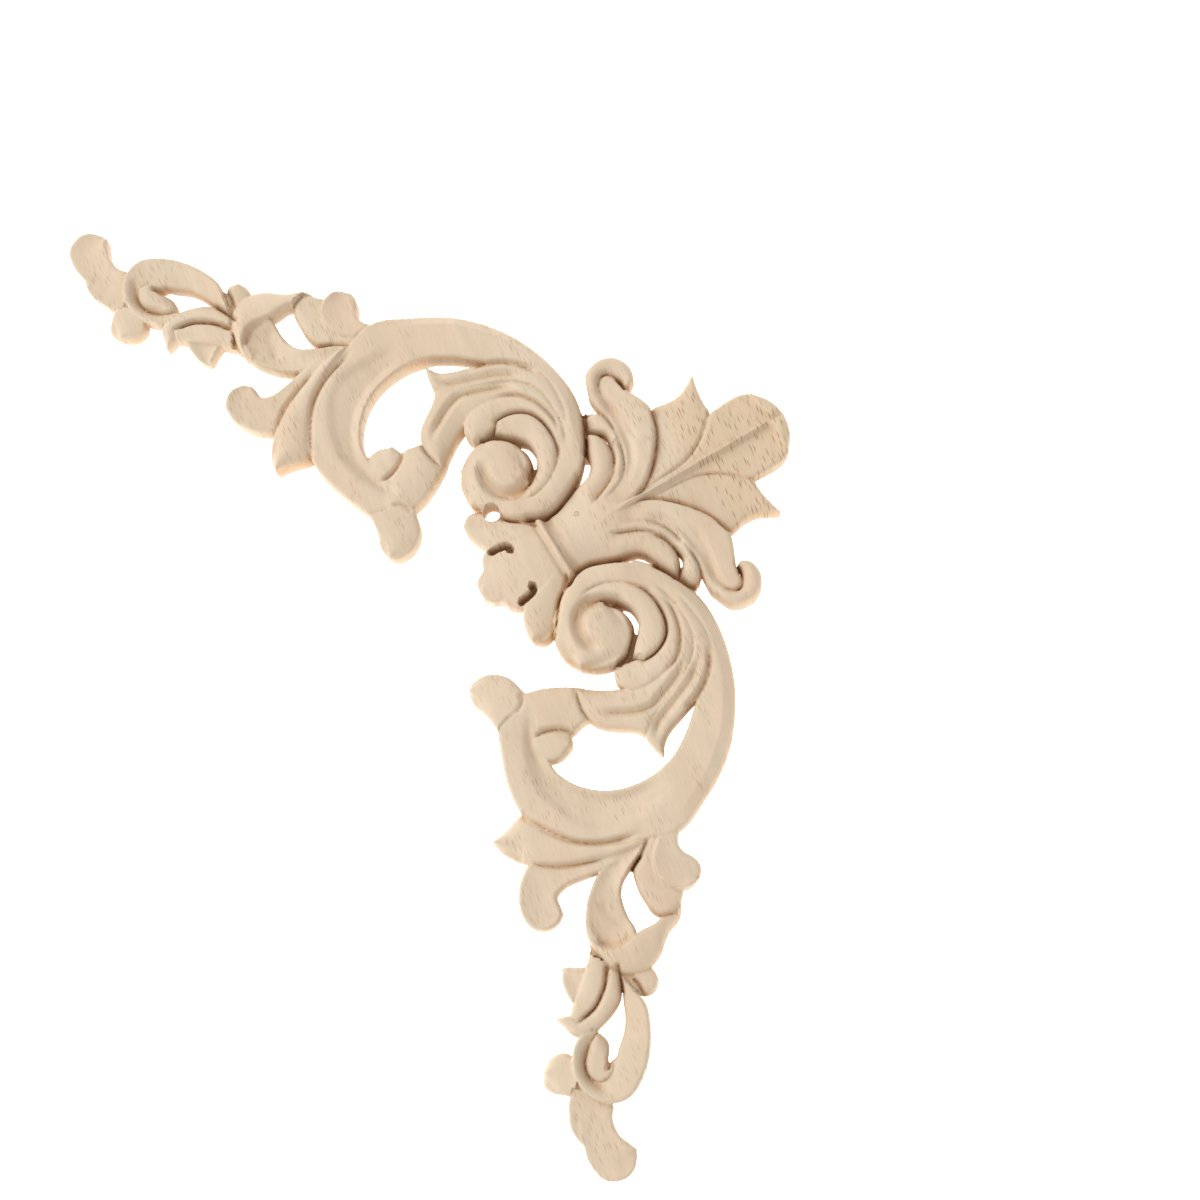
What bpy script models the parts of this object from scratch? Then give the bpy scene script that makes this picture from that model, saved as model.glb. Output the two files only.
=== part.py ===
"""Carved wooden corner onlay: two mirrored arms of scrollwork that meet in a leaf on the corner.

The onlay lies on its flat back at z = 0, carved face up. It fills a square of SIDE, centred on
the origin, with its outer corner at +X +Y. One arm runs to -X and the other, its mirror image
about the diagonal, runs to -Y.

The drawing is made in units of a two-hundredth of SIDE, for the arm that runs to -X. Each leaf,
lobe or band of the carving is a form between two rails, given by a few points each, with the
height of its crest from root to tip and the rise of its cross section. The relief is the stack
of the forms, later ones over earlier ones, with gouge cuts along their creases.
"""
import math

import bmesh
import bpy
import numpy as np

# Driving dimensions, in metres
SIDE = 0.200
THICKNESS = 0.0098

# The drawing's own units
DRAWING_SIDE = 200.0
DRAWING_TOP = 9.8
UNIT = SIDE / DRAWING_SIDE
RISE = THICKNESS / DRAWING_TOP

# Samples along each rail for the heights, between two points of a smooth curve, and the
# spacing of points along an outline
RAIL_STEPS = 30
SPAN_STEPS = 13
OUTLINE_STEP = 2.2

# Keeps a division from failing where two points fall together
TINY = 1e-9

# Depth of the modelling and of the cuts, as a multiple of what the forms and gouges state
CARVING_DEPTH = 1.3

# Softness across an edge where forms meet, and the share of a gouge over which it fades out
SOFTNESS = 0.35
FADE = 0.22

# Shape of a vee cut's walls and of a chisel cut's walls
VEE_POWER = 1.4
CHISEL_STEEPNESS = 2.2

# A form whose end is wider than this, from its middle to a rail, counts as open there
OPEN_END = 1.0

# Least half width of a form, and how far outside a form its reach is worked out
NARROWEST = 0.3
NEAR_MARGIN = 3.0

# Rounding of the top edge, the lowest a cut may reach, the highest wood, and the height off the wood
EDGE_RADIUS = 0.8
EDGE_DROP = 0.5
LOWEST = 2.0
HIGHEST = 9.6
OUTSIDE_HEIGHT = 4.0

# The block of relief and the upright prisms that trim it to its outline
GRID_STEP = 1.25
PRISM_TOP = 14.0
PRISM_BOTTOM = -2.0
PRISM_STAGGER = 0.03
WELD = 0.01
TRIANGLES_KEPT = 0.38

WOOD_COLOUR = (0.74, 0.58, 0.42, 1.0)
WOOD_ROUGHNESS = 0.62


def spline(points, count):
    """Even samples along a smooth curve that passes through the points."""
    p = np.array(points, float)
    ends = np.vstack([2 * p[0] - p[1], p, 2 * p[-1] - p[-2]])
    pieces = []
    for i in range(len(p) - 1):
        a, b, c, d = ends[i:i + 4]
        tb = math.sqrt(np.linalg.norm(b - a)) + TINY
        tc = tb + math.sqrt(np.linalg.norm(c - b)) + TINY
        td = tc + math.sqrt(np.linalg.norm(d - c)) + TINY
        t = np.linspace(tb, tc, SPAN_STEPS)[:-1, None]
        ab = (a * (tb - t) + b * t) / tb
        bc = (b * (tc - t) + c * (t - tb)) / (tc - tb)
        cd = (c * (td - t) + d * (t - tc)) / (td - tc)
        abc = (ab * (tc - t) + bc * t) / tc
        bcd = (bc * (td - t) + cd * (t - tb)) / (td - tb)
        pieces.append((abc * (tc - t) + bcd * (t - tb)) / (tc - tb))
    curve = np.vstack(pieces + [p[-1:]])
    length = np.concatenate([[0], np.cumsum(np.linalg.norm(np.diff(curve, axis=0), axis=1))])
    even = np.linspace(0, length[-1], count)
    return np.stack([np.interp(even, length, curve[:, k]) for k in (0, 1)], 1)


def flipped(points):
    """The same points on the other arm."""
    return [(y, x) for x, y in points]


def arc(centre, radii, angles, count=6):
    """Points along a round stretch; the radius may change from one end to the other."""
    points = []
    for i in range(count):
        t = i / (count - 1)
        radius = radii[0] + (radii[1] - radii[0]) * t
        angle = math.radians(angles[0] + (angles[1] - angles[0]) * t)
        points.append((centre[0] + radius * math.cos(angle), centre[1] + radius * math.sin(angle)))
    return points


def form(name, left, right, crest, section=(0, 0, 0), crease=1.0, blend=4.0, shoulder=None, melt=SOFTNESS):
    """A leaf, lobe or band between two rails, from root to tip.

    crest holds heights along it; section the rise at its left edge, middle and right edge;
    crease how far its edges fall away where it lies against another form; blend the length
    over which an open end melts into what lies under it; shoulder the width and drop of a
    broader fall along the left edge; melt how softly its edges meet the form below.
    """
    return dict(name=name, left=left, right=right, crest=crest, section=section, crease=crease, blend=blend,
                shoulder=shoulder, melt=melt, ground=False)


def patch(name, left, right, height):
    """Low wood between two short lines."""
    piece = form(name, left, right, (height, height))
    piece["ground"] = True
    return piece


def grounds():
    """Low wood under the joints of the carving, seen only at the bottom of its deepest cuts."""
    return [
        patch("volute_ground", [(12, 84), (20, 89), (27, 91), (35, 86.5), (41, 77), (42.5, 66), (39, 55)],
              [(14, 78), (18, 74.5), (21, 70.5), (20.5, 64), (24, 56), (31, 53), (37, 54)], 6.0),
        patch("flank_ground", [(42.5, 81), (43.5, 76), (44.5, 69.5)], [(46, 82), (48, 77),
                                                                       (47.5, 69.8)], 4.4),
        patch("stem_ground", [(35, 52), (41, 55), (45, 62)], [(40, 48), (46, 54), (49, 62)], 4.2),
        patch("claw_ground", [(24, 51.5), (30, 52.5), (37, 53)], [(24, 48.2), (30, 47.5), (37, 48)], 4.2),
        patch("collar_ground", [(34, 51), (37.6, 51.4), (43, 47)], [(35.5, 47.4), (38.5, 46.6), (42, 43.4)],
              5.4),
        patch("tip_ground", [(-82.6, 80.5), (-84, 85), (-84.5, 91)], [(-79, 80.5), (-79, 91)], 4.0),
        patch("loop_ground", [(-78, 89), (-78, 82)], [(-68.5, 85), (-67, 81)], 3.6),
        patch("leaflet_ground", [(-57, 78.5), (-56.2, 86.5), (-55, 92)], [(-50, 78.5), (-50, 86.5),
                                                                          (-50, 93)], 4.2),
        patch("ribbon_ground", [(-50, 78), (-50, 86)], [(-44, 76.5), (-43, 87)], 4.0),
        patch("root_ground", [(-29, 84.4), (-24, 86)], [(-27, 81.5), (-22, 81)], 4.4),
    ]


def tip_leaf():
    """The low end leaf, with a hook at its top and a lobe below."""
    lobe = form("tip_lobe",
                [(-80.5, 81.6), (-84.1, 81.4), (-87, 82.2), (-89.7, 83.3), (-91.6, 85.2), (-92.9, 87.2),
                 (-94.2, 88.6)],
                [(-80.5, 91.7), (-86, 91), (-90, 90.8), (-94.2, 88.9)],
                (4.6, 4.6), (0, -0.3, 0), 0.0)
    hook = form("tip_hook",
                [(-86, 84), (-92, 86.8), (-96.6, 89.8), (-99.2, 94.3), (-97.7, 98.5), (-95, 100),
                 (-92, 99.9)],
                [(-82.5, 91.8), (-85.5, 92.3), (-88.4, 94.6), (-89.6, 97), (-90.5, 99.4)],
                (4.6, 4.7), (0.1, -0.4, 0.1), 0.0)
    side = form("side_lobe",
                [(-82.7, 82), (-83, 77), (-82.2, 74.9), (-79, 73.7)],
                [(-74.6, 82), (-73.3, 77.4), (-75.6, 74.4), (-79, 73.7)],
                (5.2, 4.8, 4.2), (-0.4, 0.1, -0.4))
    return [lobe, hook, side]


def leaflet():
    """The two strands and the lobe between the loop and the folded ribbon leaf."""
    lobe = form("leaflet_lobe",
                [(-62, 78.5), (-61.3, 76.2), (-57.5, 73), (-54.6, 72.2)],
                [(-52, 79), (-53.3, 75.5), (-53.6, 73.5), (-54.2, 72.3)],
                (5.0, 4.4), (0.2, -0.5, 0.2), 0.4)
    groove = [(-50.5, 82), (-55.4, 83.1), (-58.6, 82.8), (-61.3, 82.1), (-63.4, 80.8), (-65.8, 78.8)]
    lower = form("leaflet_lower",
                 [(-49.5, 77.7), (-55, 77.5), (-61, 76.8), (-66.4, 76.6)],
                 [(x, y + 0.9) for x, y in groove], (5.9, 5.2), (-0.2, 0.2, -0.4), 0.6)
    upper = form("leaflet_upper",
                 [(-51, 85.6), (-55.1, 86.8), (-57.8, 87.4), (-60.9, 86.8), (-65, 84.7), (-68.6, 81.8),
                  (-69, 78.5), (-67.4, 75.6), (-66.4, 73.6)],
                 groove[:-1] + [(-65.5, 79), (-64.7, 76.5), (-65.9, 73.8)],
                 (6.4, 6.2, 5.6, 5.0), (-0.7, 0.2, -0.2), 0.6)
    return [lobe, lower, upper]


def loop():
    """The small C-shaped loop with a raised rim and a curl inside it."""
    eye = form("loop_eye",
               [(-71, 91.4), (-76.4, 90.6), (-79.3, 87.6), (-78.2, 83.8), (-73.6, 82.2), (-70, 82.8),
                (-66.4, 82.8)],
               [(-70, 90.6), (-72.2, 89), (-73, 88.3), (-72, 87.8), (-70.2, 87.6), (-68, 86.6),
                (-66.8, 84.4)],
               (4.6, 5.4, 5.6, 5.2, 4.6), (-0.3, 0.3, -0.5), 0.6, 2.0)
    band = form("loop_band",
                [(-51.5, 85), (-52.9, 87), (-55.8, 91.5), (-58, 93.9), (-66, 96.8), (-74, 97),
                 (-79.8, 94.8), (-82.2, 90), (-81, 84.8), (-78.2, 81.5), (-74.6, 79.8), (-70.8, 79.5),
                 (-67.6, 81), (-66.4, 83.6)],
                [(-51.8, 85.3), (-53.3, 86.4), (-58.5, 88.3), (-62, 89.6), (-65.3, 90.1), (-69, 89.8),
                 (-72.5, 89.8), (-76, 89.2), (-77.8, 87), (-76.8, 84.4), (-73.9, 82.9), (-70.8, 82.8),
                 (-68.8, 83.4), (-67.2, 84)],
                (6.4, 6.6, 6.4, 6.4, 6.2, 5.8, 5), (0.4, -0.2, -1.1), 0.5)
    return [eye, band]


def ribbon_leaf():
    """The leaf that folds back over itself, with a see-through gap at the fold."""
    behind = form("back_leaf",
                  [(-54.3, 88.5), (-55.9, 92.4), (-54.9, 94.4), (-53, 95.3)],
                  [(-48.5, 90), (-49, 92.9), (-50.8, 94.8), (-52.6, 95.3)],
                  (5.0, 5.4), (-0.4, 0.1, -0.4))
    scoop = form("ribbon_scoop",
                 [(-48, 80.5), (-47, 85.6), (-43.6, 87.8), (-40.6, 86.6), (-39.2, 85), (-36.4, 82.8),
                  (-33.9, 81.5), (-31.2, 81.2), (-27.5, 82.2), (-24, 83.6), (-19, 85.5)],
                 [(-47.7, 79.5), (-46, 76.6), (-43.3, 75.2), (-41, 74.6), (-38, 74.2), (-33.8, 74.4),
                  (-30, 75.2), (-26, 76.5), (-21, 78.5)],
                 (5.6, 5.4, 5.8, 6.5, 7.1, 7.5), (0.6, -0.5, 0.5), 0.6)
    back = form("ribbon_back",
                [(-45.6, 75.9), (-48.8, 79.2), (-51.2, 83), (-52.1, 86.8), (-50.8, 90.6), (-48, 93.1),
                 (-44.8, 94.3), (-42, 94.5), (-39.5, 95), (-37, 96.3), (-35, 96.6), (-32.5, 96),
                 (-29, 95.9)],
                [(-45, 76.3), (-46.5, 78.4), (-47, 81.3), (-46.7, 83.4), (-45.6, 84.9), (-43.8, 86.4),
                 (-42.2, 87.5), (-40.6, 89.1), (-39, 91), (-37.5, 92), (-36.2, 92), (-33, 93.4),
                 (-29, 94.4)],
                (6.2, 7.1, 7.4, 7.5, 7.4), (-1.2, 0, 0.1), 0.3, 4.0, (2.0, 0.6))
    return [behind, scoop, back]


def scale_leaves():
    """Two overlapping scales that lie against the big scroll."""
    lower = form("scale_lower",
                 [(-16, 84.8), (-23.7, 83.8), (-27.5, 83), (-32, 85.3), (-34.4, 87.6), (-36.4, 90),
                  (-36.9, 92.6), (-35.7, 95)],
                 [(-16, 88.5), (-20, 87.6), (-24.5, 88.2), (-28, 91), (-28.5, 94), (-29.5, 95.4),
                  (-32, 96), (-35.4, 95.8)],
                 (7.4, 6.9, 6.4), (-0.2, -0.1, -0.5), 0.8, 4.0, (2.2, 1.5))
    upper = form("scale_upper",
                 [(-15.5, 86.5), (-19.7, 86.9), (-21.8, 86.6), (-24, 87), (-26, 87.8), (-27.8, 89.2),
                  (-29, 90.9), (-29.6, 93), (-29.2, 95.8), (-27.8, 97.8), (-26, 98.7)],
                 [(-12.5, 92.6), (-16.3, 91.5), (-19.1, 92.2), (-20.5, 93.9), (-21.1, 96.3),
                  (-22.3, 98.2), (-24, 99), (-25.6, 98.8)],
                 (8.0, 7.7, 7.2, 6.6), (0.5, -0.4, -0.5), 0.5)
    return [lower, upper]


def curl_and_spear():
    """The leaf that ends in a hook and the spear leaf beside the scroll."""
    curl = form("curl_leaf",
                [(-25.5, 81), (-30.3, 74.9), (-32.8, 71.4), (-35.5, 68), (-38.3, 66.7), (-40, 67.9),
                 (-41.6, 69)],
                [(-23, 78), (-27, 71), (-30.6, 63), (-31.6, 58.8), (-34.5, 57.7), (-39, 57.5),
                 (-44.2, 59.4), (-46.9, 62.6), (-46.6, 66.4), (-44.4, 68.5), (-42, 69.1)],
                (7.6, 6.6, 6.2, 5.6), (-0.1, -0.4, 0.1), 0.6)
    spear = form("spear_leaf",
                 [(-21, 84), (-26.2, 76.5), (-29.9, 68.5), (-31.8, 61.5), (-32.3, 56), (-31.2, 51.3),
                  (-29.3, 48.2)],
                 [(-17.5, 86), (-21.3, 78), (-23, 69), (-22, 60), (-20.4, 55), (-21.6, 53.1), (-25.6, 50.8),
                  (-28.9, 48.3)],
                 (7.8, 7.2, 6.6, 6.0), (-0.5, 0.4, -1.2), 0.6)
    return [curl, spear]


def scroll():
    """The big C scroll, its foot, the stalk across its mouth and the small leaf inside it."""
    foot = form("foot",
                [(-9, 46), (-3, 42.9), (0.4, 39), (2.6, 35), (5.2, 33.2)],
                [(5.5, 50.5), (8, 46.7), (10.8, 41.5), (10.2, 36.6), (7.4, 33.6), (5.6, 33.2)],
                (7.6, 7.2, 6.2), (-0.4, 0.2, -0.4), 0.1)
    stalk = form("stalk",
                 [(-3, 46), (-1.5, 52.5), (0.9, 58.5), (0.6, 60.2), (4.2, 62.8), (7, 65.5)],
                 [(7.8, 46.8), (10, 50.5), (12.3, 58.5), (12.4, 62), (11, 65.5)],
                 (7.2, 7.4, 7.2), (-0.4, 0.2, -0.8), 0.5)
    band = form("scroll_band",
                [(3, 46), (-2, 43), (-8.5, 45.2), (-16.2, 49.2), (-21.8, 54.5), (-24.6, 64),
                 (-23.6, 75.5), (-20, 84), (-17.5, 89.5), (-14, 92.9), (-7, 95.6), (0, 97.8), (9, 98.7),
                 (21, 96.7), (32, 91.5), (40.6, 84), (45.4, 74), (46.3, 64), (44, 56.5), (40.2, 51.6)],
                [(5, 50), (-1, 52.5), (-5.5, 55.8), (-9.3, 59.5), (-11.2, 66.5), (-9.8, 74.5),
                 (-5, 81.5), (1, 85.8), (8, 87.6), (16.5, 88.2), (24.5, 88.6), (31.2, 85.6),
                 (36.6, 80.2), (39, 73.4), (38.8, 65), (37.2, 59.2), (34.2, 57.6)],
                (7.2, 7.3, 7.4, 7.8, 8.3, 8.9, 9.0), (-0.1, 0, -0.4), 0.6)
    hollow = form("scroll_hollow",
                  [(4, 47.2), (-3, 48.6), (-8, 50.6), (-12.1, 52.8), (-15.5, 55.6), (-19, 60.8),
                   (-21.3, 66), (-22, 71), (-20.6, 76.5), (-16, 82), (-10, 87.5)],
                  [(5, 50), (-1, 52.5), (-5.5, 55.8), (-9.3, 59.5), (-11.2, 66.5), (-9.8, 74.5),
                   (-5, 81.5), (1, 85.8)],
                  (6.6, 6.7, 7.0, 7.6), (0.2, -0.9, -1.5), 0.0, 9.0, melt=3.0)
    leaf = form("mouth_leaf",
                [(-4.5, 50.5), (-7, 57), (-5.4, 59.6), (-2, 61.4)],
                [(0.2, 51), (1.4, 57), (1, 60), (-1.7, 61.4)],
                (6.2, 6.6), (-0.4, 0.2, -0.1), 0.5, melt=1.2)
    return [foot, stalk, band, hollow, leaf]


def fronds():
    """The fluted leaf that spreads from the volute into the mouth of the scroll."""
    top = form("frond_top",
               [(1.2, 83.6), (4.2, 83), (7.5, 83.6), (11, 85.3), (14.4, 87), (18, 89), (23.3, 90),
                (28.5, 89.2), (33.3, 86.4), (40.4, 78)],
               [(1.4, 82.6), (2.8, 80.3), (4.6, 78.3), (8, 78), (13, 80.2), (18, 82.4), (23, 84),
                (29, 84), (34, 80.5), (39.2, 75)],
               (7.0, 7.8, 8.5, 8.9, 8.9), (-0.6, 0, -0.2), 0.4)
    main = form("frond",
                [(11.6, 59), (9, 60.2), (6.4, 62), (4.6, 65), (4.2, 67.6), (4.4, 70), (5, 73),
                 (5.4, 76), (4.9, 78.2), (9.7, 79), (15, 81.4), (20, 83.4), (25.5, 84.8), (31.5, 83.6),
                 (38, 77.4), (42, 70.8)],
                [(12.1, 59.4), (12.6, 62), (13.2, 65.5), (14.6, 70), (17, 74), (20.5, 77), (25, 78.2),
                 (33, 77), (39.6, 69.4)],
                (7.0, 7.6, 7.9, 8.4, 8.8, 9.0), (-0.5, 0.2, -0.9), 0.5)
    curl = form("frond_curl",
                [(39.6, 71.5), (37.1, 76.4), (34.3, 78.6), (31.1, 80.2), (28.2, 80.8), (25, 80.8),
                 (21.5, 79.4), (17.6, 76.6), (15.2, 73.6), (14.6, 70.8), (15.8, 68), (18, 66.9)],
                [(40.3, 66), (38.5, 71.4), (36.5, 73.8), (33.7, 76), (30.6, 77.2), (27.9, 77),
                 (25.1, 75.8), (23, 74), (22.4, 71.6), (21.2, 68.8), (20, 67.3), (18.4, 66.9)],
                (9.0, 8.9, 8.8, 8.4, 7.4), (-0.3, 0.2, -0.6), 0.4)
    return [top, main, curl]


def volute():
    """The coil at the end of the scroll, with its round eye."""
    eye = form("volute_eye",
               [(17, 59), (17.6, 63), (19.6, 66.6), (22.7, 68.4), (25.2, 68.9), (28, 68.8),
                (30.4, 67.7), (32.7, 65.8), (33.8, 63.4), (33.9, 61)],
               [(17.2, 58.4), (18.4, 54.4), (22, 50.8), (27, 49.3), (31.5, 50.4), (34.6, 54), (34.8, 59)],
               (8.4, 9.2, 9.2, 9.0), (-0.8, 0.3, -0.8), 0.8)
    rim = form("volute_rim",
               [(46.4, 68), (46.1, 63.5), (44, 57.2), (40.2, 51.8), (36.2, 49.8), (31.5, 49.3),
                (26.5, 49.4), (22, 51)],
               [(40, 67), (38.8, 61), (36, 57.4), (33, 55.2), (29.4, 54.6), (26, 55.4), (23.6, 56.8)],
               (9.0, 9.2, 9.2, 9.0, 8.8), (-0.7, 0.2, -0.3), 0.5, 7.0)
    coil = form("inner_coil",
                [(22.6, 73.6), (25.1, 75.7), (27.9, 76.8), (30.6, 77), (33.7, 75.8), (36.5, 73.6),
                 (38.5, 71.2), (39.7, 68.6), (40.2, 65), (39.4, 60.5), (37.2, 56.8), (34, 54.2)],
                [(22.7, 70.6), (25.6, 70.2), (28.6, 70.4), (31, 70), (33.3, 68.6), (34.9, 66.4),
                 (35.5, 63.2), (34.9, 60), (33.6, 57.8), (31.4, 56)],
                (8.6, 9.2, 9.3, 9.1, 8.8), (-0.3, 0.2, -0.7), 0.6)
    return [eye, rim, coil]


def claw():
    """The lobed claw at the inner corner, on the diagonal."""
    lobe = form("claw_lobe",
                [(40.3, 49.2), (36, 49.6), (28, 49.3), (23.8, 49.9), (21.4, 48.4), (20.9, 45.6)],
                [(40.6, 42), (34.5, 42.3), (29, 41.2), (25.4, 42), (22.6, 43.6), (21.1, 45.2)],
                (8.0, 7.3, 6.4), (-0.7, 0.2, -0.2), 0.4)
    edge = [(41.5, 48.2), (33, 44), (28.5, 40.4), (28, 38), (29, 35.4), (28.3, 33.4), (28.6, 31.2),
            (29.8, 29.8)]
    middle = form("claw_middle", edge, flipped(edge), (8.1, 7.5, 6.4), (-0.2, 0.1, -0.2), 0.0)
    return [lobe, middle]


def stem():
    """The collar across the diagonal and the stem that flares above it."""
    edge = [(39.5, 50.9), (43, 54.8), (46.5, 61.5), (50.5, 69), (53.5, 78)]
    flare = form("stem", edge, flipped(edge), (8.2, 8.6, 8.2), (-1.5, 0.7, -1.5), 1.0, 6.0)
    low = [(38.4, 50.4), (41, 47.7), (44.3, 44.3), (47.7, 41), (50.4, 38.4)]
    high = [(39.8, 51.7), (42.9, 48.4), (45.7, 45.7), (48.4, 42.9), (51.7, 39.8)]
    collar = form("collar", low, high, (8.8, 9.3, 9.4, 9.3, 8.8), (-0.9, 0.2, -0.9), 0.5)
    return [flare, collar]


def corner_leaves():
    """The leaves that fan out from the stem towards the outer corner."""
    inner = form("flank_inner",
                 [(45.8, 60), (48.6, 66), (46.6, 71.5), (44.6, 75.8)],
                 [(51, 56), (54.6, 66), (54, 70.5), (52.3, 73.6), (50.3, 75.4), (47.8, 76.3), (45, 76.2)],
                 (8.6, 8.2, 7.4), (-0.9, 0.2, -0.9))
    outer = form("flank_outer",
                 [(53, 72), (50, 76.5), (45.2, 77), (43.6, 79.4)],
                 [(57, 75), (53.4, 79), (50.6, 80.4), (48.2, 81.8), (45.6, 81.6), (43.9, 79.9)],
                 (8.2, 7.4, 6.8), (-0.9, 0.2, -0.7))
    side = form("side_leaf",
                [(53, 57), (56.9, 66.3), (56.4, 70.4), (55, 74), (52, 77.8), (49.5, 80.4), (46, 83),
                 (43, 86), (43, 90)],
                [(60.5, 58.5), (63.4, 65), (63.7, 70), (63.4, 75.2), (62.9, 79.6), (61.5, 83.7),
                 (59.6, 86), (56, 88), (51.4, 89.8), (47.5, 93)],
                (8.8, 8.4, 8.0, 7.4, 6.8), (-0.2, -0.2, -0.2), 0.7)
    curl = form("side_curl",
                [(44.4, 84.6), (42.1, 88), (41.2, 91.2), (42.6, 94.4), (45.1, 96.5), (48, 97),
                 (51.2, 95.8), (53.2, 93), (52.8, 90.6)],
                [(46.6, 86.2), (45.2, 88.6), (44.8, 90.8), (46, 92.2), (48, 92.2), (49.6, 91.5),
                 (50.6, 90.9), (50.9, 90.4), (51.2, 89.8)],
                (7.2, 7.4, 7.4, 7.2, 6.6), (-0.5, 0.2, -0.8), 0.5, 3.0)
    lobe = form("pointed_lobe",
                [(59, 58), (62.8, 66), (63, 75), (61.9, 81), (59.4, 86), (63.1, 88.9), (65.6, 92),
                 (67.2, 97.3)],
                [(65, 63), (69.5, 70.5), (72.2, 76), (73.7, 82), (74, 88.6), (72.4, 90.2), (70, 93.2),
                 (67.5, 97.3)],
                (7.4, 6.6, 6.2, 5.6), (-0.9, 0.1, 0.0), 0.5)
    edge = [(61, 63), (67, 69.5), (71.2, 74.6), (73.2, 80), (73.9, 87.6), (76.2, 90.6), (79, 93.6)]
    edge = edge + arc((84.2, 84.2), (11.4, 11.4), (104, 48), 5)
    centre = form("centre_leaf", edge, flipped(edge), (7.4, 6.8, 6.4, 6.2), (-0.2, -0.1, -0.2), 0.3)
    rim = form("leaf_rim", arc((84.2, 84.2), (11.4, 11.4), (94, 38)),
               [(82.6, 95), (84.2, 92.9), (86.4, 91.4), (88.6, 90.4), (89.9, 88.8)],
               (6.8, 7.3, 7.4), (-0.8, 0.3, -0.2), 0.7, 3.0)
    return [inner, outer, side, curl, lobe, centre, rim]


def carving():
    """Every form of one arm and of the motif on the diagonal, lowest first."""
    groups = (grounds, tip_leaf, leaflet, loop, ribbon_leaf, scale_leaves, curl_and_spear, scroll, fronds,
              volute, claw, stem, corner_leaves)
    return [piece for group in groups for piece in group()]


def gouge(points, width, depth, start=True, end=True, tool="vee"):
    """A cut along a line; start and end say where it fades out, and a negative depth leaves a rib.

    The tool is vee for a sharp crease, round for a soft hollow, chisel for a slot with steep walls
    and bevel for a flat slope.
    """
    return dict(points=points, width=width, depth=depth, start=start, end=end, tool=tool)


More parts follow.
